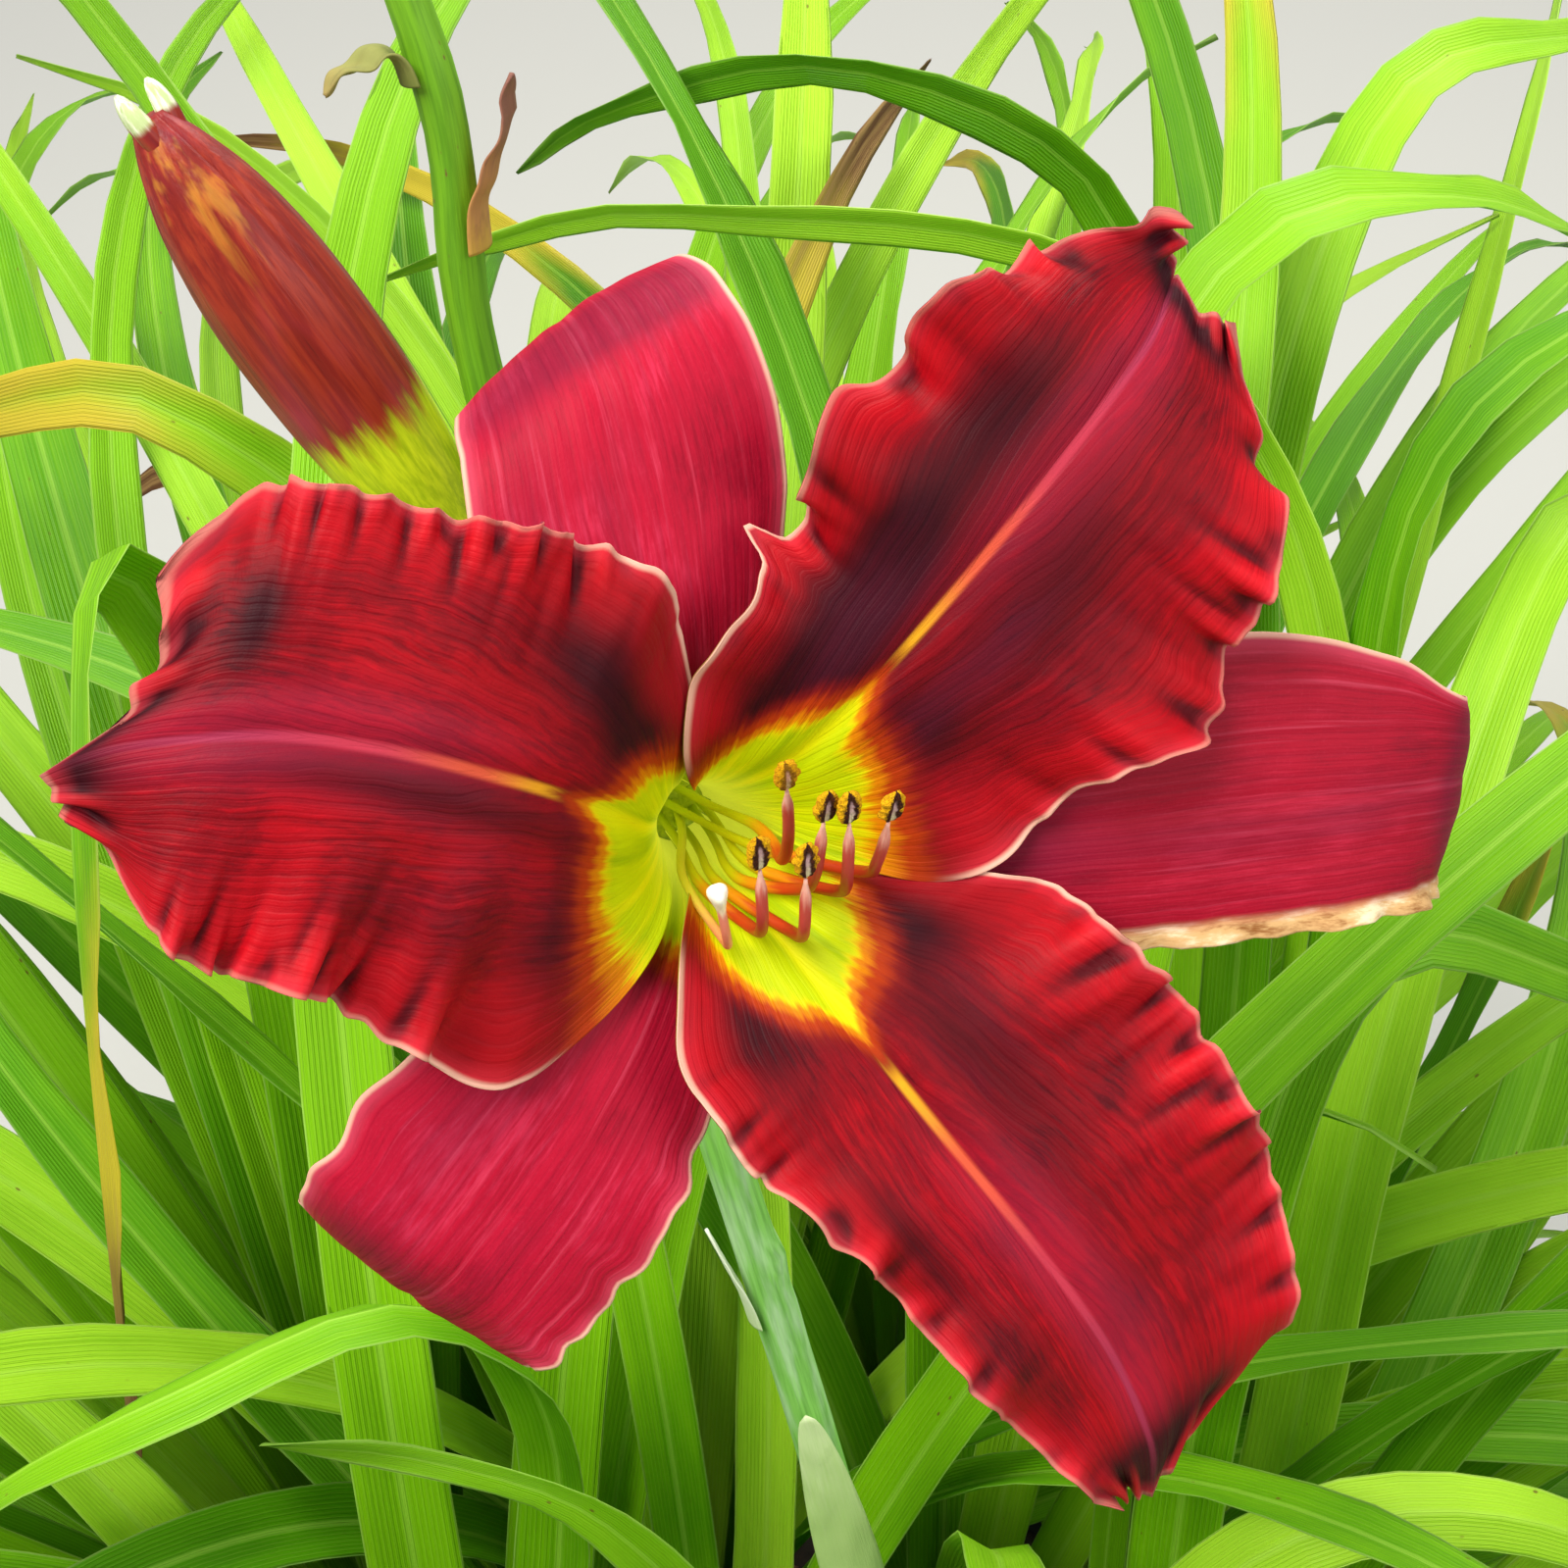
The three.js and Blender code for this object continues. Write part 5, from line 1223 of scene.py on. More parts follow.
def anther_lobes(i, tip, ahead):
    """The two lobes of anther i, on the end of its filament."""
    start, end = tip + ahead * GAP, tip + ahead * ANTHER["length"]
    line = evenly([start, lerp(start, end, 0.5), end], 44)
    _, normal, side = frames(line, (1, 0.2, 0))
    s, turn = np.linspace(-1, 1, len(line))[:, None], circle(40)
    r = ANTHER["radius"] * np.sqrt(np.maximum(1 - np.abs(s)**2.6, 0.02))
    r = r * (1 + 0.13 * ripples(2.4 * s + 9 * i, 1.3 * np.cos(turn), 30 + i, 8, (0.5, 1.6)))
    groove = 1 - 0.42 * np.exp(-(np.cos(turn) / 0.3)**2)
    x = 1.35 * r * np.cos(turn) * groove**0.3 + 0.12 * s * s * (1 - 2 * (i % 2))
    y = 0.8 * r * np.sin(turn) * groove
    body = line[:, None] + x[..., None] * normal[:, None] + y[..., None] * side[:, None]
    return Pile().lofted(
        body, columns(x + 7 * i, y, s * ANTHER["length"] / 2), across=np.cos(turn), inner=np.abs(np.sin(turn)),
        tone=0.66 * (i == 1), along=(s + 1) / 2)


def make_stamens():
    skin = thread_material(
        "filament_skin", 0.12, 0.05,
        [(0.0, "b4c60c"), (0.36, "d0cc0c"), (0.48, "dc8a0c"), (0.57, "b83c10"), (0.74, "a52618"),
         (0.9, "b8443a"), (1.0, "e8b09a")],
        0.4, Specular_IOR_Level=0.3, Subsurface_Weight=0.15, Subsurface_Radius=(0.001, 0.0005, 0.0002))
    pollen = anther_material()
    for i, stamen in enumerate(STAMENS, 1):
        path = filament_path(around(FILAMENT["ring"], stamen["foot"], GAP), stamen)
        rings, rest, share = round_rings(evenly(path, 70), thread_radius, 14)
        Pile().lofted(rings, rest + [9 * i, 0, 0], along=share).piece(
            f"filament_{i}_skin", skin, "filament", f"filament_{i}", place=to_part)
        anther_lobes(i, path[-1], unit(path[-1] - path[-2])).piece(
            f"anther_{i}_lobes", pollen, "anther", f"anther_{i}", place=to_part)


def make_style():
    def swell(s):
        stigma = lerp(STYLE["radius"], STYLE["stigma"], smooth(s, 0.92, 0.985))
        return stigma * lerp(1, 0.6, smooth(s, 0.985, 1))

    lobed = lambda turn, s: 1 + 0.14 * np.cos(3 * turn) * smooth(s, 0.93, 0.98)
    path = filament_path(np.array([0, 0, GAP]), STYLE)
    rings, rest, share = round_rings(evenly(path, 90), swell, 24, lobed)
    skin = thread_material(
        "style_skin", 0.08, 0.04,
        [(0.0, "c3cf2a"), (0.45, "d8cc2c"), (0.66, "e09058"), (0.9, "dc7f66"), (0.94, "f4e6c0"), (1.0, "fffbe8")],
        0.38, Subsurface_Weight=0.2, Subsurface_Radius=(0.001, 0.0005, 0.0003))
    Pile().lofted(rings, rest, along=share).piece("style_skin", skin, "style", "style", place=to_part)


# ---------------------------------------------------------------- buds

SMALL_STALK_RADIUS = 1.3


def bud_material(small):
    paint = Graph("bud_small_skin" if small else "bud_skin")
    up, tip = paint.read("along"), paint.read("inner")
    streak = paint.noise((0.5, 0.5, 0.035), 5, 0.65)
    fine = paint.noise((1.6, 1.6, 0.05), 4, 0.6, (3, 1, 0))
    cloud = paint.noise((0.08, 0.08, 0.04), 3, 0.5, (1, 5, 2))
    if small:
        colour = paint.coats(
            paint.ramp(streak, (0.3, "7fa63a"), (0.7, "b7cf62")),
            (up.rise(0.55, 1.0) * streak.rise(0.4, 0.6), "8c3a34"))
    else:
        long_streak = paint.noise((0.24, 0.24, 0.005), 4, 0.6, (5, 2, 0))
        colour = paint.coats(
            paint.ramp((streak * 0.75 + fine * 0.25).clip(),
                       (0.3, "560a0c"), (0.45, "7a1a12"), (0.58, "942c18"), (0.72, "a8441c")),
            (cloud.rise(0.45, 0.7) * up.rise(0.2, 0.5) * 0.6, "a8384e"),
            (long_streak.rise(0.53, 0.66) * up.rise(0.5, 0.95) * 0.5, "d8982c"),
            ((up + streak * 0.22 - 0.11).rise(0.4, 0.31), paint.ramp(fine, (0.3, "a9bf0a"), (0.7, "d3e01c"))))
    pale = paint.blend(fine.rise(0.4, 0.6), "b9c98a", "eef2d4")
    colour = paint.blend((tip + fine * 0.2 - 0.1).rise(0.2, 0.6), colour, pale)
    return paint.surface(colour, (cloud * 0.15 + 0.36).clip(), Normal=paint.bump(streak + fine * 0.6, 0.16),
                         Specular_IOR_Level=0.3)


def bud_ends(bud):
    return np.array(bud["foot"], float), np.array(bud["tip"], float)


def bud_rings(bud, sides, steps):
    """Three outer sepals with a seam between each two, which opens towards the tip."""
    def shape(turn, share):
        turn = turn + PI / 3
        seam = 0.9 * lerp(0.03, 0.2, smooth(share, 0.55, 1)) * np.exp(-(np.sin(1.5 * turn) / 0.12)**2)
        return 1 + 0.05 * np.cos(3 * turn) - seam + 0.015 * np.cos(12 * turn) * smooth(share, 0.05, 0.3)

    foot, tip = bud_ends(bud)
    path = evenly([foot, lerp(foot, tip, 0.5), tip], steps, 60)
    return round_rings(path, lambda s: bud["radius"] * along(BUD_ROWS, 1, s), sides, shape)


def bud_tips(pile, bud):
    foot, tip = bud_ends(bud)
    ahead, radius = unit(tip - foot), bud["radius"]
    _, normal, side = frames([foot, tip], (0, -1, 0))
    width = lambda s: radius * (0.2 - 0.06 * s) * np.sqrt(np.maximum(1 - s**5, 0.04))
    for k in range(3):
        turn = 2 * PI * k / 3
        out = normal[0] * math.cos(turn) + side[0] * math.sin(turn)
        start, end = tip + radius * (0.16 * out - 0.55 * ahead), tip + radius * (0.3 * out + 0.42 * ahead)
        bend = lerp(start, end, 0.55) + 0.05 * radius * out
        rings, rest, share = round_rings(evenly([start, bend, end], 16), width, 12)
        pile.lofted(rings, rest + [20 * k, 0, 0], along=1.0, inner=smooth(share, 0.35, 0.8))


def make_buds():
    rings, rest, share = bud_rings(BUD, 72, 110)
    skin = Pile().lofted(rings, rest, along=share, inner=smooth(share, 0.97, 1.03) * 0.4)
    bud_tips(skin, BUD)
    skin.piece("bud_large_skin", bud_material(False), "bud", "bud_large")
    material = bud_material(True)
    for i, bud in enumerate(SMALL_BUDS, 1):
        root = SCAPE_PATH[round(bud["at"] * SCAPE_STEPS)]
        foot, tip = bud_ends(bud)
        stalk = evenly([root, foot, lerp(foot, tip, 0.2)], 24)
        rings, rest, _ = round_rings(stalk, SMALL_STALK_RADIUS, 14)
        small = Pile().lofted(rings, rest, along=0.0)
        rings, rest, share = bud_rings(bud, 36, 50)
        small.lofted(rings, rest + [40, 0, 0], along=share, inner=smooth(share, 0.9, 1) * 0.5)
        small.piece(f"bud_small_{i}_skin", material, "bud", f"bud_small_{i}")


# ---------------------------------------------------------------- bracts on the scape

def bract_sheet(share, length, half, out, lean, curl, steps=48, wide=18):
    """Middle layer and normal of a bract, folded round the scape at its foot."""
    total = path_length(SCAPE_PATH)
    climb, away = 0.0, scape_radius(share) + 3 * GAP
    hug = away
    middles, ups, sides, ts = [], [], [], []
    for k in range(steps + 1):
        t = k / steps
        i = min((share + climb / total) * SCAPE_STEPS, SCAPE_STEPS - 1e-6)
        a, b = SCAPE_PATH[int(i)], SCAPE_PATH[int(i) + 1]
        ahead = unit(b - a)
        outward = around(1, out)
        outward = unit(outward - outward.dot(ahead) * ahead)
        side = np.cross(ahead, outward)
        tilt = math.radians(lean) * smooth(t, 0.1, 0.5) + math.radians(curl) * t * t
        ups.append(outward * math.cos(tilt) - ahead * math.sin(tilt))
        middles.append(lerp(a, b, i - int(i)) + outward * away)
        sides.append(side)
        ts.append(t)
        climb += length / steps * math.cos(tilt)
        away += length / steps * math.sin(tilt)
    t = np.array(ts)[:, None]
    x = np.linspace(-1, 1, wide + 1)[None, :]
    w = half * np.sqrt(np.maximum(1 - t**1.6, 0)) + 0.25
    wrap = lerp(0.75 / hug, 0.02, smooth(t, 0, 0.8))
    turn = x * w * wrap
    sheet = (np.array(middles)[:, None] + np.array(sides)[:, None] * (np.sin(turn) / wrap)[..., None]
             - np.array(ups)[:, None] * ((1 - np.cos(turn)) / wrap)[..., None])
    return sheet, np.array(ups)[:, None] + 0 * sheet, t + 0 * x, x + 0 * t, w + 0 * x


def bract_material(name, rough, dirty, *stops):
    paint = Graph(name)
    streak = paint.noise((1.4, 1.4, 0.09), 5, 0.65)
    blotch = paint.noise((0.22, 0.22, 0.16), 4, 0.6)
    colour = paint.ramp((paint.read("along") * 0.7 + streak * 0.5 - 0.1).clip(), *stops)
    colour = paint.blend(blotch.rise(0.55, 0.75) * 0.5, colour, dirty)
    return paint.surface(colour, rough, 0.2, Normal=paint.bump(streak + blotch * 0.4, 0.2))


# How crinkled each bract is, its slot, and its material: name, roughness, colour of its blotches, and
# the colours from its foot to its tip
BRACT_LOOKS = dict(
    bract_sheath=(0.15, "bract", "bract_skin", 0.5, "b8cf8a", (0.0, "a9cf73"), (0.5, "c4dd8e"), (1.0, "e2ecbc")),
    bract_low=(0.2, "bract", "bract_low_skin", 0.6, "dfe6c4", (0.0, "cfe0a6"), (0.5, "eef2da"), (1.0, "f8f6e8")),
    bract_dry=(0.8, "dry_bract", "bract_dry_skin", 0.7, "6b4a30",
               (0.0, "d9b23e"), (0.4, "c28a52"), (0.7, "94604c"), (1.0, "7a4a3e")),
    bract_withered=(0.9, "bract", "bract_withered_skin", 0.8, "6b4a30",
                    (0.0, "6e7c2c"), (0.5, "93944e"), (1.0, "a88c50")),
)


def make_bracts():
    for number, (name, bract) in enumerate(BRACTS.items()):
        crinkle, slot, *look = BRACT_LOOKS[name]
        sheet, up, t, x, w = bract_sheet(**bract)
        wave = ripples(x * w, t * bract["length"], 20 + number, 7, (3, 12)) * smooth(t, 0.15, 0.5)
        sheet = sheet + up * (crinkle * 0.6 * wave)[..., None]
        rise_t, rise_x = np.gradient(sheet, axis=(0, 1))
        normal = unit(np.cross(rise_x, rise_t))
        normal = normal * np.sign((normal * up).sum(-1, keepdims=True))
        thick = (0.3 * lerp(1, 0.4, np.abs(x)**3))[..., None]
        rest = columns(both(x * w) + 30 * number, 0, both(t * bract["length"]))
        leafy = Pile().lofted(both(sheet - normal * thick, sheet + normal * thick), rest, along=both(t))
        leafy.piece(name + "_skin", bract_material(*look), slot, name)


# ---------------------------------------------------------------- where the leaves grow

def leaf_half_width(half, t):
    return half * (0.5 + 0.5 * smooth(t, 0, 0.34)) * np.maximum(1 - t**3.2, 0)**0.8 + 0.35


def leaf_fold(t):
    lower = lerp(48, 20, smooth(t, 0, 0.35))
    return np.radians(lerp(lower, 8, t))


def leaf_frames(path, inward, twist, t):
    """The blades' frames: carried along their routes, then turned by the twist, in degrees."""
    ahead, normal, side = frames(path, inward)
    turn = np.radians(twist)[:, None] * t * t
    normal = normal * np.cos(turn)[..., None] + side * np.sin(turn)[..., None]
    return normal, np.cross(ahead, normal)


def leaf_samples(path, half, inward, twist, length):
    """Points over each blade of a stack, and which of them count."""
    steps = np.ceil(length / LEAF["cell"]).astype(int)
    spine = evenly(path, steps)
    place = np.arange(spine.shape[1]) / steps[:, None]
    t = np.minimum(place, 1)
    normal, side = leaf_frames(spine, inward, twist, t)
    w, fold = leaf_half_width(half[:, None], t), leaf_fold(t)
    x = np.array([-1, -0.66, -0.33, 0, 0.33, 0.66, 1])
    points = (spine[:, :, None] + side[:, :, None] * (x * (w * np.cos(fold))[..., None])[..., None]
              + normal[:, :, None] * (np.abs(x) * (w * np.sin(fold))[..., None])[..., None])
    counts = (place <= 1)[..., None] & (points[..., 2] > SOIL["level"] + FAN["height"])
    return points, counts


class Space:
    """The space that is taken, in cells. Each point takes the cells round its own, as far as reach."""

    def __init__(self, reach=1):
        self.taken = np.zeros(SPACE_SIZE, np.uint8)
        self.reach = reach

    def cells(self, points):
        cells = np.floor((points - SPACE_FROM) / LEAF["cell"]).astype(int)
        return np.clip(cells, 1, np.array(SPACE_SIZE) - 2)

    def claim(self, points, owner):
        if not len(points):
            return
        steps = np.arange(-self.reach, self.reach + 1)
        near = np.stack(np.meshgrid(steps, steps, steps, indexing="ij"), -1).reshape(1, -1, 3)
        cells = (self.cells(points)[:, None] + near).reshape(-1, 3)
        at = np.unique(np.ravel_multi_index(cells.T, SPACE_SIZE))
        flat = self.taken.reshape(-1)
        held = flat[at]
        flat[at] = np.where((held == 0) | (held == owner), owner, SHARED)

    def clear(self, points, counts, owner):
        """For each blade of a stack, whether all that counts lies in free space or its owner's."""
        held = self.taken[tuple(np.moveaxis(self.cells(points), -1, 0))]
        return ((held == 0) | (held == owner) | ~counts).all((1, 2))

    def keep_open(self, points, before):
        """Takes the points and the open air before them, towards the open side."""
        steps = math.ceil(before / LEAF["cell"])
        sweep = np.arange(steps + 1)[:, None, None] * LEAF["cell"] * np.array([0, -math.sqrt(0.5), math.sqrt(0.5)])
        self.claim((points + sweep).reshape(-1, 3), SHARED)


def draws(seed, first, count):
    """Repeatable draws in 0..1 from a counter: numbers first to first + count of the stream."""
    mask = np.uint64(0xFFFFFFFF)
    cut = lambda value: value & mask
    n = np.arange(first + 1, first + count + 1, dtype=np.uint64)
    state = cut(np.uint64(seed) + n * np.uint64(0x6D2B79F5))
    shift = lambda value, by: value >> np.uint64(by)
    t = cut((state ^ shift(state, 15)) * (state | np.uint64(1)))
    t = cut(t + cut((t ^ shift(t, 7)) * (t | np.uint64(61)))) ^ t
    return (t ^ shift(t, 14)).astype(float) / 2**32


def arch_routes(foot, heading, rise, droop, bend, swing, length):
    """Routes of leaves from their foot: they rise steeply, arch over and swing to one side."""
    pieces = 12
    s = (np.arange(pieces) + 0.5) / pieces
    slope = np.radians(rise[:, None] - droop[:, None] * s**bend[:, None])
    turn = np.radians(heading[:, None] + swing[:, None] * s * s)
    way = np.stack([np.cos(turn) * np.cos(slope), np.sin(turn) * np.cos(slope), np.sin(slope)], -1)
    strides = np.cumsum(way * (length / pieces)[:, None, None], axis=1)
    return foot + np.concatenate([np.zeros((len(length), 1, 3)), strides], axis=1)


def counted(start, stop, step):
    values = []
    while start <= stop:
        values.append(start)
        start += step
    return np.array(values)


def open_space(reach):
    """A space in which only the scape, the bud and the bloom, and what keeps them in sight, are taken."""
    space = Space(reach)
    ring = np.array([around(SCAPE_RADII[0], azimuth) for azimuth in range(0, 360, 60)])
    beside = lambda path: (evenly(path, 80)[:, None] + ring).reshape(-1, 3)
    halfway = SCAPE_STEPS // 2
    space.keep_open(beside(SCAPE_PATH[:halfway + 1]), 0)
    space.keep_open(beside(SCAPE_PATH[halfway - 1:]), OPEN_AIR["scape"])
    foot, tip = bud_ends(BUD)
    space.keep_open(evenly([foot, lerp(foot, tip, 0.5), tip], 20), OPEN_AIR["scape"])
    for tepal in TEPALS.values():
        t, u = np.meshgrid(counted(0.1, 1, 0.04), counted(-1, 1, 0.1), indexing="ij")
        space.keep_open(to_part(tepal_middle(tepal, t, u)).reshape(-1, 3), OPEN_AIR["bloom"])
    return space


def foot_of(fan, place):
    return fan["centre"] + around(place, fan["plane"], FAN["leaf_foot"])


def keep(space, fan, points):
    """Takes the space of a leaf: its fan's own within the bundle, and shared above it."""
    low = points[:, 2] <= SOIL["level"] + FAN["bundle"]
    space.claim(points[low], fan["owner"])
    space.claim(points[~low], SHARED)


def sampled(leaf):
    points, counts = leaf_samples(**{key: np.asarray(value)[None] for key, value in leaf.items()})
    return points[counts]


def leaf_stack(kind, d, foot, heading, rise, droop):
    """A stack of leaves from their draws, with the points over each blade and which of them count."""
    length, bend, swing, half, twist = (
        lerp(*kind[key], d[k]) for key, k in (("length", 1), ("bend", 4), ("swing", 5), ("half", 6), ("twist", 7)))
    path = evenly(arch_routes(foot, heading, rise, droop, bend, swing, length), LEAF["samples"])
    stack = dict(path=path, half=half, inward=-around(1, heading), twist=twist, length=length)
    return (stack, *leaf_samples(**stack))


def grow_fans():
    """Every leaf of every fan: its path, half width, inward direction, twist and length."""
    space = open_space(1)
    fans = []
    for i, fan in enumerate(FANS):
        fans.append(dict(
            owner=i + 1, centre=around(fan["ring"], fan["azimuth"], SOIL["level"]),
            plane=fan["azimuth"] + 90 + 25 * (i % 3 - 1), outward=fan["azimuth"],
            spread=100 if fan["ring"] > 50 else 140, count=fan["leaves"], leaves=[]))
    for number, half, way in PLACED_LEAVES:
        fan = fans[number]
        inward = (np.array(way[0]) - fan["centre"]) * [1, 1, 0]
        path = evenly([foot_of(fan, 0), *way], LEAF["samples"])
        leaf = dict(path=path, half=half, inward=-unit(inward), twist=0.0, length=path_length(path))
        fan["leaves"].append(leaf)
        keep(space, fan, sampled(leaf))
    used = 0
    for row in range(max(fan["count"] for fan in fans)):
        for fan in [fan for fan in fans if row < fan["count"]]:
            outer = 1 - row / (fan["count"] - 1)
            way = 1 if row % 2 else -1
            foot = foot_of(fan, way * lerp(*FAN["reach"], outer))
            tried = 0
            while tried < LEAF["tries"]:
                # Most leaves find their place within a small first batch
                batch = min(190 if tried else 40, LEAF["tries"] - tried)
                d = draws(LEAF["seed"], used + 8 * tried, 8 * batch).reshape(batch, 8).T
                heading = fan["outward"] + way * lerp(LEAF["side"], fan["spread"], d[0])
                rise = LEAF["rise"] + LEAF["outer_rise"] * outer + lerp(*LEAF["rise_change"], d[2])
                droop = lerp(*LEAF["droop"], d[3]) + LEAF["outer_droop"] * outer
                stack, points, counts = leaf_stack(LEAF, d, foot, heading, rise, droop)
                out = np.hypot(points[..., 0], points[..., 1])
                inside = (((out < LEAF["out"]) & (points[..., 2] < LEAF["top"])) | ~counts).all((1, 2))
                good = np.flatnonzero(inside & space.clear(points, counts, fan["owner"]))
                if len(good):
                    k = good[0]
                    tried += k + 1
                    fan["leaves"].append({key: value[k] for key, value in stack.items()})
                    keep(space, fan, points[k][counts[k]])
                    break
                tried += batch
            used += 8 * tried
    return fans


def seen_cells(points):
    """Cells of the picture in which the points are seen."""
    x, y, z = (points - CAMERA_AT).T
    tilt = math.radians(CAMERA_TILT)
    depth = y * math.sin(tilt) - z * math.cos(tilt)
    up = y * math.cos(tilt) + z * math.sin(tilt)
    across, down = x / (CAMERA_HALF_VIEW * depth), -up / (CAMERA_HALF_VIEW * depth)
    inside = (np.abs(across) < 1) & (np.abs(down) < 1)
    half = FILLERS["cells"] / 2
    return tuple(((value[inside] + 1) * half).astype(int) for value in (down, across))


def bare_cells(bare, points):
    seen = np.zeros_like(bare)
    seen[seen_cells(points)] = True
    return int((seen & bare).sum())


def grow_fillers(fans):
    """Further leaves for every fan, which pass closer to the others."""
    draw = np.random.default_rng(FILLERS["seed"])
    space = open_space(0)
    bare = np.ones((FILLERS["cells"],) * 2, bool)
    for tepal in TEPALS.values():
        t, u = np.meshgrid(np.linspace(0, 1, 60), np.linspace(-1, 1, 40), indexing="ij")
        bare[seen_cells(to_part(tepal_middle(tepal, t, u)).reshape(-1, 3))] = False
    for fan in fans:
        for leaf in fan["leaves"]:
            points = sampled(leaf)
            keep(space, fan, points)
            bare[seen_cells(points)] = False
    low, high = (np.array(corner) / MM for corner in cad_box)
    low, high = low + FILLERS["inset"], high - FILLERS["inset"]
    found = [[] for _ in fans]
    for _ in range(FILLERS["each"]):
        for fan, leaves in zip(fans, found):
            d = draw.uniform(0, 1, (9, FILLERS["tries"]))
            heading = fan["outward"] + 360 * (d[0] - 0.5) * lerp(0.45, 1, d[8])
            foot = foot_of(fan, 0) + lerp(*FILLERS["along_fan"], d[8])[:, None] * around(1, fan["plane"])
            rise, droop = lerp(*FILLERS["rise"], d[2]), lerp(*FILLERS["droop"], d[3])
            stack, points, counts = leaf_stack(FILLERS, d, foot[:, None], heading, rise, droop)
            inside = (((points > low) & (points < high)).all(-1) & (points[..., 2] < FILLERS["top"]) | ~counts)
            good = np.flatnonzero(inside.all((1, 2)) & space.clear(points, counts, fan["owner"]))
            if len(good):
                k = max(good, key=lambda k: bare_cells(bare, points[k][counts[k]]))
                bare[seen_cells(points[k][counts[k]])] = False
                leaves.append({key: value[k] for key, value in stack.items()})
                keep(space, fan, points[k][counts[k]])
    return found


# ---------------------------------------------------------------- fine leaves

def leaf_material():
    """Green blades. glow is the pale foot, and inner how aged a leaf is."""
    paint = Graph("leaf_blade")
    t, x, edge, tone, aged, pale = (paint.read(name) for name in ("along", "across", "edge", "tone", "inner", "glow"))
    side = abs(x)
    ribs = (x * (2 * PI * 8.5)).sine()
    fine = (x * (2 * PI * 23)).sine()
    streak = paint.noise((0.7, 0.7, 0.012), 4, 0.6)
    cloud = paint.noise((0.05, 0.05, 0.012), 4, 0.6)
    shade = (tone * 0.62 + cloud * 0.5 - 0.06 + streak * 0.16).clip()
    speck = paint.specks((0.22, 0.22, 0.1), 0.075, 0.03) * cloud.rise(0.5, 0.6)
    # Some tips and margins turn yellow, then brown
    yellow = (t + cloud * 0.16 + side * 0.05 + aged * 0.42).rise(1.13, 1.22)
    brown = (t + cloud * 0.14 + streak * 0.1 + aged * 0.36).rise(1.24, 1.32)
    colour = paint.coats(
        paint.ramp(shade, (0.12, "2f7000"), (0.38, "5ca200"), (0.62, "8ccb0a"), (0.9, "bcec34")),
        (ribs.rise(0.2, 1.0) * 0.1, "c8ee60"),
        (fine.rise(0.3, 1.0) * 0.07, "2d6b00"),
        (side.rise(0.14, 0.02) * 0.3, "c4ee60"),
        (edge.rise(0.5, 0.1) * 0.3, "d8f090"),
        # Painted shade: darker green towards the leaf's foot, where the leaves shade each other
        (t.rise(0.5, 0.1) * 0.5, "2c6800"),
        (pale, "dbe6a0"),
        (yellow, "d9c23a"),
        (brown, paint.ramp(streak, (0.35, "6a4220"), (0.65, "b08a52"))),
        (speck * 0.8, "7a5a26"))
    relief = ribs * 0.5 + fine * 0.22 + streak * 0.7
    return paint.surface(
        colour, (streak * 0.16 + 0.36 + brown * 0.3).clip(), 0.27, paint.blend(0.6, colour, "c8ee3c", "MULTIPLY"),
        Normal=paint.bump(relief, 0.12), Specular_IOR_Level=0.3)


# Points along and across a blade, of the leaves that the part has and of the looks' own
FINE = dict(steps=48, across=13)
FILLER = dict(steps=38, across=9)


def blade(pile, fineness, spine, normal, side, half, number, tone, aged, wave):
    """One leaf: a folded blade with a keel under its middle."""
    t = np.linspace(0, 1, len(spine))[:, None]
    lean = np.linspace(-1, 1, fineness["across"])[None, :]
    x = np.sign(lean) * np.abs(lean)**1.15
    w, fold = leaf_half_width(half, t), leaf_fold(t)
    valley = 0.12
    rise_x = (np.sqrt(x * x + valley**2) - valley) / (math.sqrt(1 + valley**2) - valley)
    s = t * path_length(spine)
    flutter = wave * smooth(t, 0.15, 0.5) * np.abs(x)**3 * np.sin(2 * PI * s / 58 + number + 1.5 * np.sign(x))
    high = rise_x * w * np.sin(fold) + 0.09 * w * np.abs(x) * (1 - np.abs(x)) + flutter
    upper = (spine[:, None] + side[:, None] * (x * w * np.cos(fold))[..., None]
             + normal[:, None] * high[..., None])
    thick = 0.5 * (1 - x**4) + 0.12 + (LEAF["keel"] * (1 - 0.45 * t) - 0.55) * np.exp(-(x / 0.16)**2)
    lower = upper - normal[:, None] * thick[..., None]
    t, s, x = np.broadcast_arrays(t, s, x)
    pile.lofted(both(lower, upper), columns(both(x * w) + 41 * number, 0, both(s)), along=both(t), across=both(x),
                edge=both((1 - np.abs(x)) * w), tone=tone, inner=aged, glow=both(0.75 * smooth(s, 45, 5)))


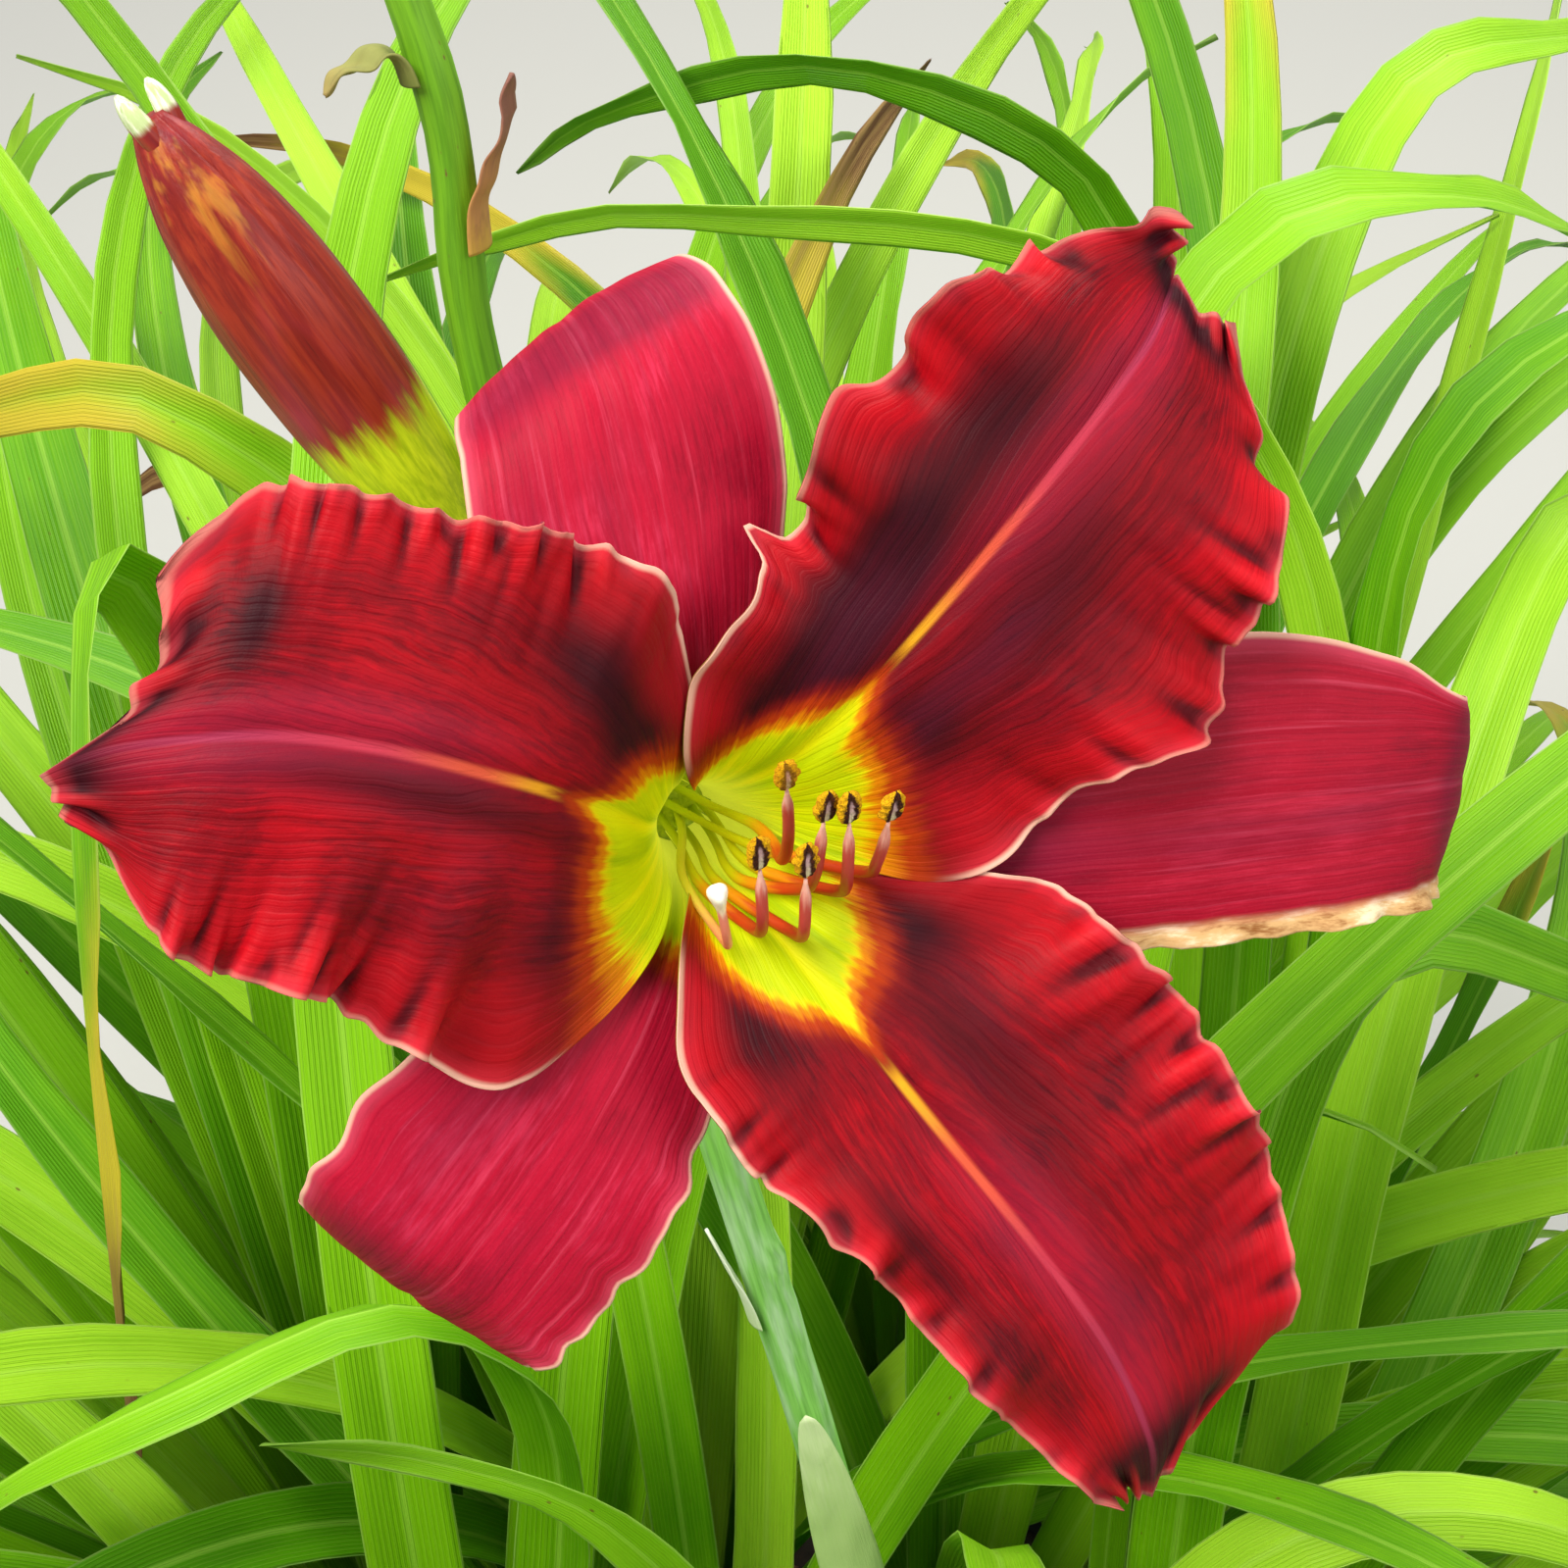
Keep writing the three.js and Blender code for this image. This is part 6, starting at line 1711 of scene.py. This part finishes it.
def fan_foot(pile, fan, number):
    """The flat bundle of leaf bases, ribbed where one leaf clasps the next."""
    rows = [[-HOLE_DEPTH, 0.82], [0, 0.95], [14, 1], [0.5 * FAN["height"], 0.8], [FAN["height"], 0.35]]
    heights = np.linspace(-HOLE_DEPTH, FAN["height"], 40)[:, None]
    sizes, turn = np.interp(heights, *np.array(rows, float).T), circle(72)
    ribbed = sizes * (1 + 0.05 * np.cos(11 * turn + 0.03 * heights) + 0.03 * np.cos(5 * turn + 1))
    x, y = FAN["half_long"] * ribbed * np.cos(turn), FAN["half_short"] * ribbed * np.sin(turn)
    rings = (fan["centre"] + x[..., None] * around(1, fan["plane"]) + y[..., None] * around(1, fan["plane"] + 90)
             + heights[..., None] * [0, 0, 1])
    pile.lofted(
        rings, columns(x + 41 * number, y, heights), along=np.interp(heights, [0, FAN["height"]], [0, 0.12]),
        across=np.cos(6 * turn) * 0.5, edge=3.0, tone=0.5,
        glow=0.85 * smooth(heights, 34, 4) * (0.75 + 0.25 * np.cos(11 * turn)))


def add_blades(pile, fineness, leaves, number, draw):
    path, inward, twist = (np.array([leaf[key] for leaf in leaves]) for key in ("path", "inward", "twist"))
    spines = evenly(path, fineness["steps"])
    t = np.broadcast_to(np.linspace(0, 1, fineness["steps"] + 1), spines.shape[:2])
    normal, side = leaf_frames(spines, inward, twist, t)
    for k, leaf in enumerate(leaves):
        tone = draw.uniform(0.1, 1)
        aged = max(draw.uniform(-3, 1), 0)
        wave = draw.uniform(0.2, 1.1)
        blade(pile, fineness, spines[k], normal[k], side[k], leaf["half"], number + k, tone, aged, wave)
    return number + len(leaves)


def make_leaves():
    draw = np.random.default_rng(5)
    material = leaf_material()
    number = 1
    fans = grow_fans()
    for fan in fans:
        pile = Pile()
        fan_foot(pile, fan, fan["owner"])
        number = add_blades(pile, FINE, fan["leaves"], number, draw)
        pile.piece(f"leaves_fan_{fan['owner']}", material, "leaf", f"fan_{fan['owner']}")
    for fan, leaves in zip(fans, grow_fillers(fans)):
        if leaves:
            pile = Pile()
            number = add_blades(pile, FILLER, leaves, number, draw)
            pile.piece(f"young_leaves_fan_{fan['owner']}", material, "leaf")


# ---------------------------------------------------------------- assembly

make_camera()
make_stage()
make_scape()
make_stalks()
make_tepals()
make_stamens()
make_style()
make_buds()
make_bracts()
make_leaves()
make_pot()
make_soil()
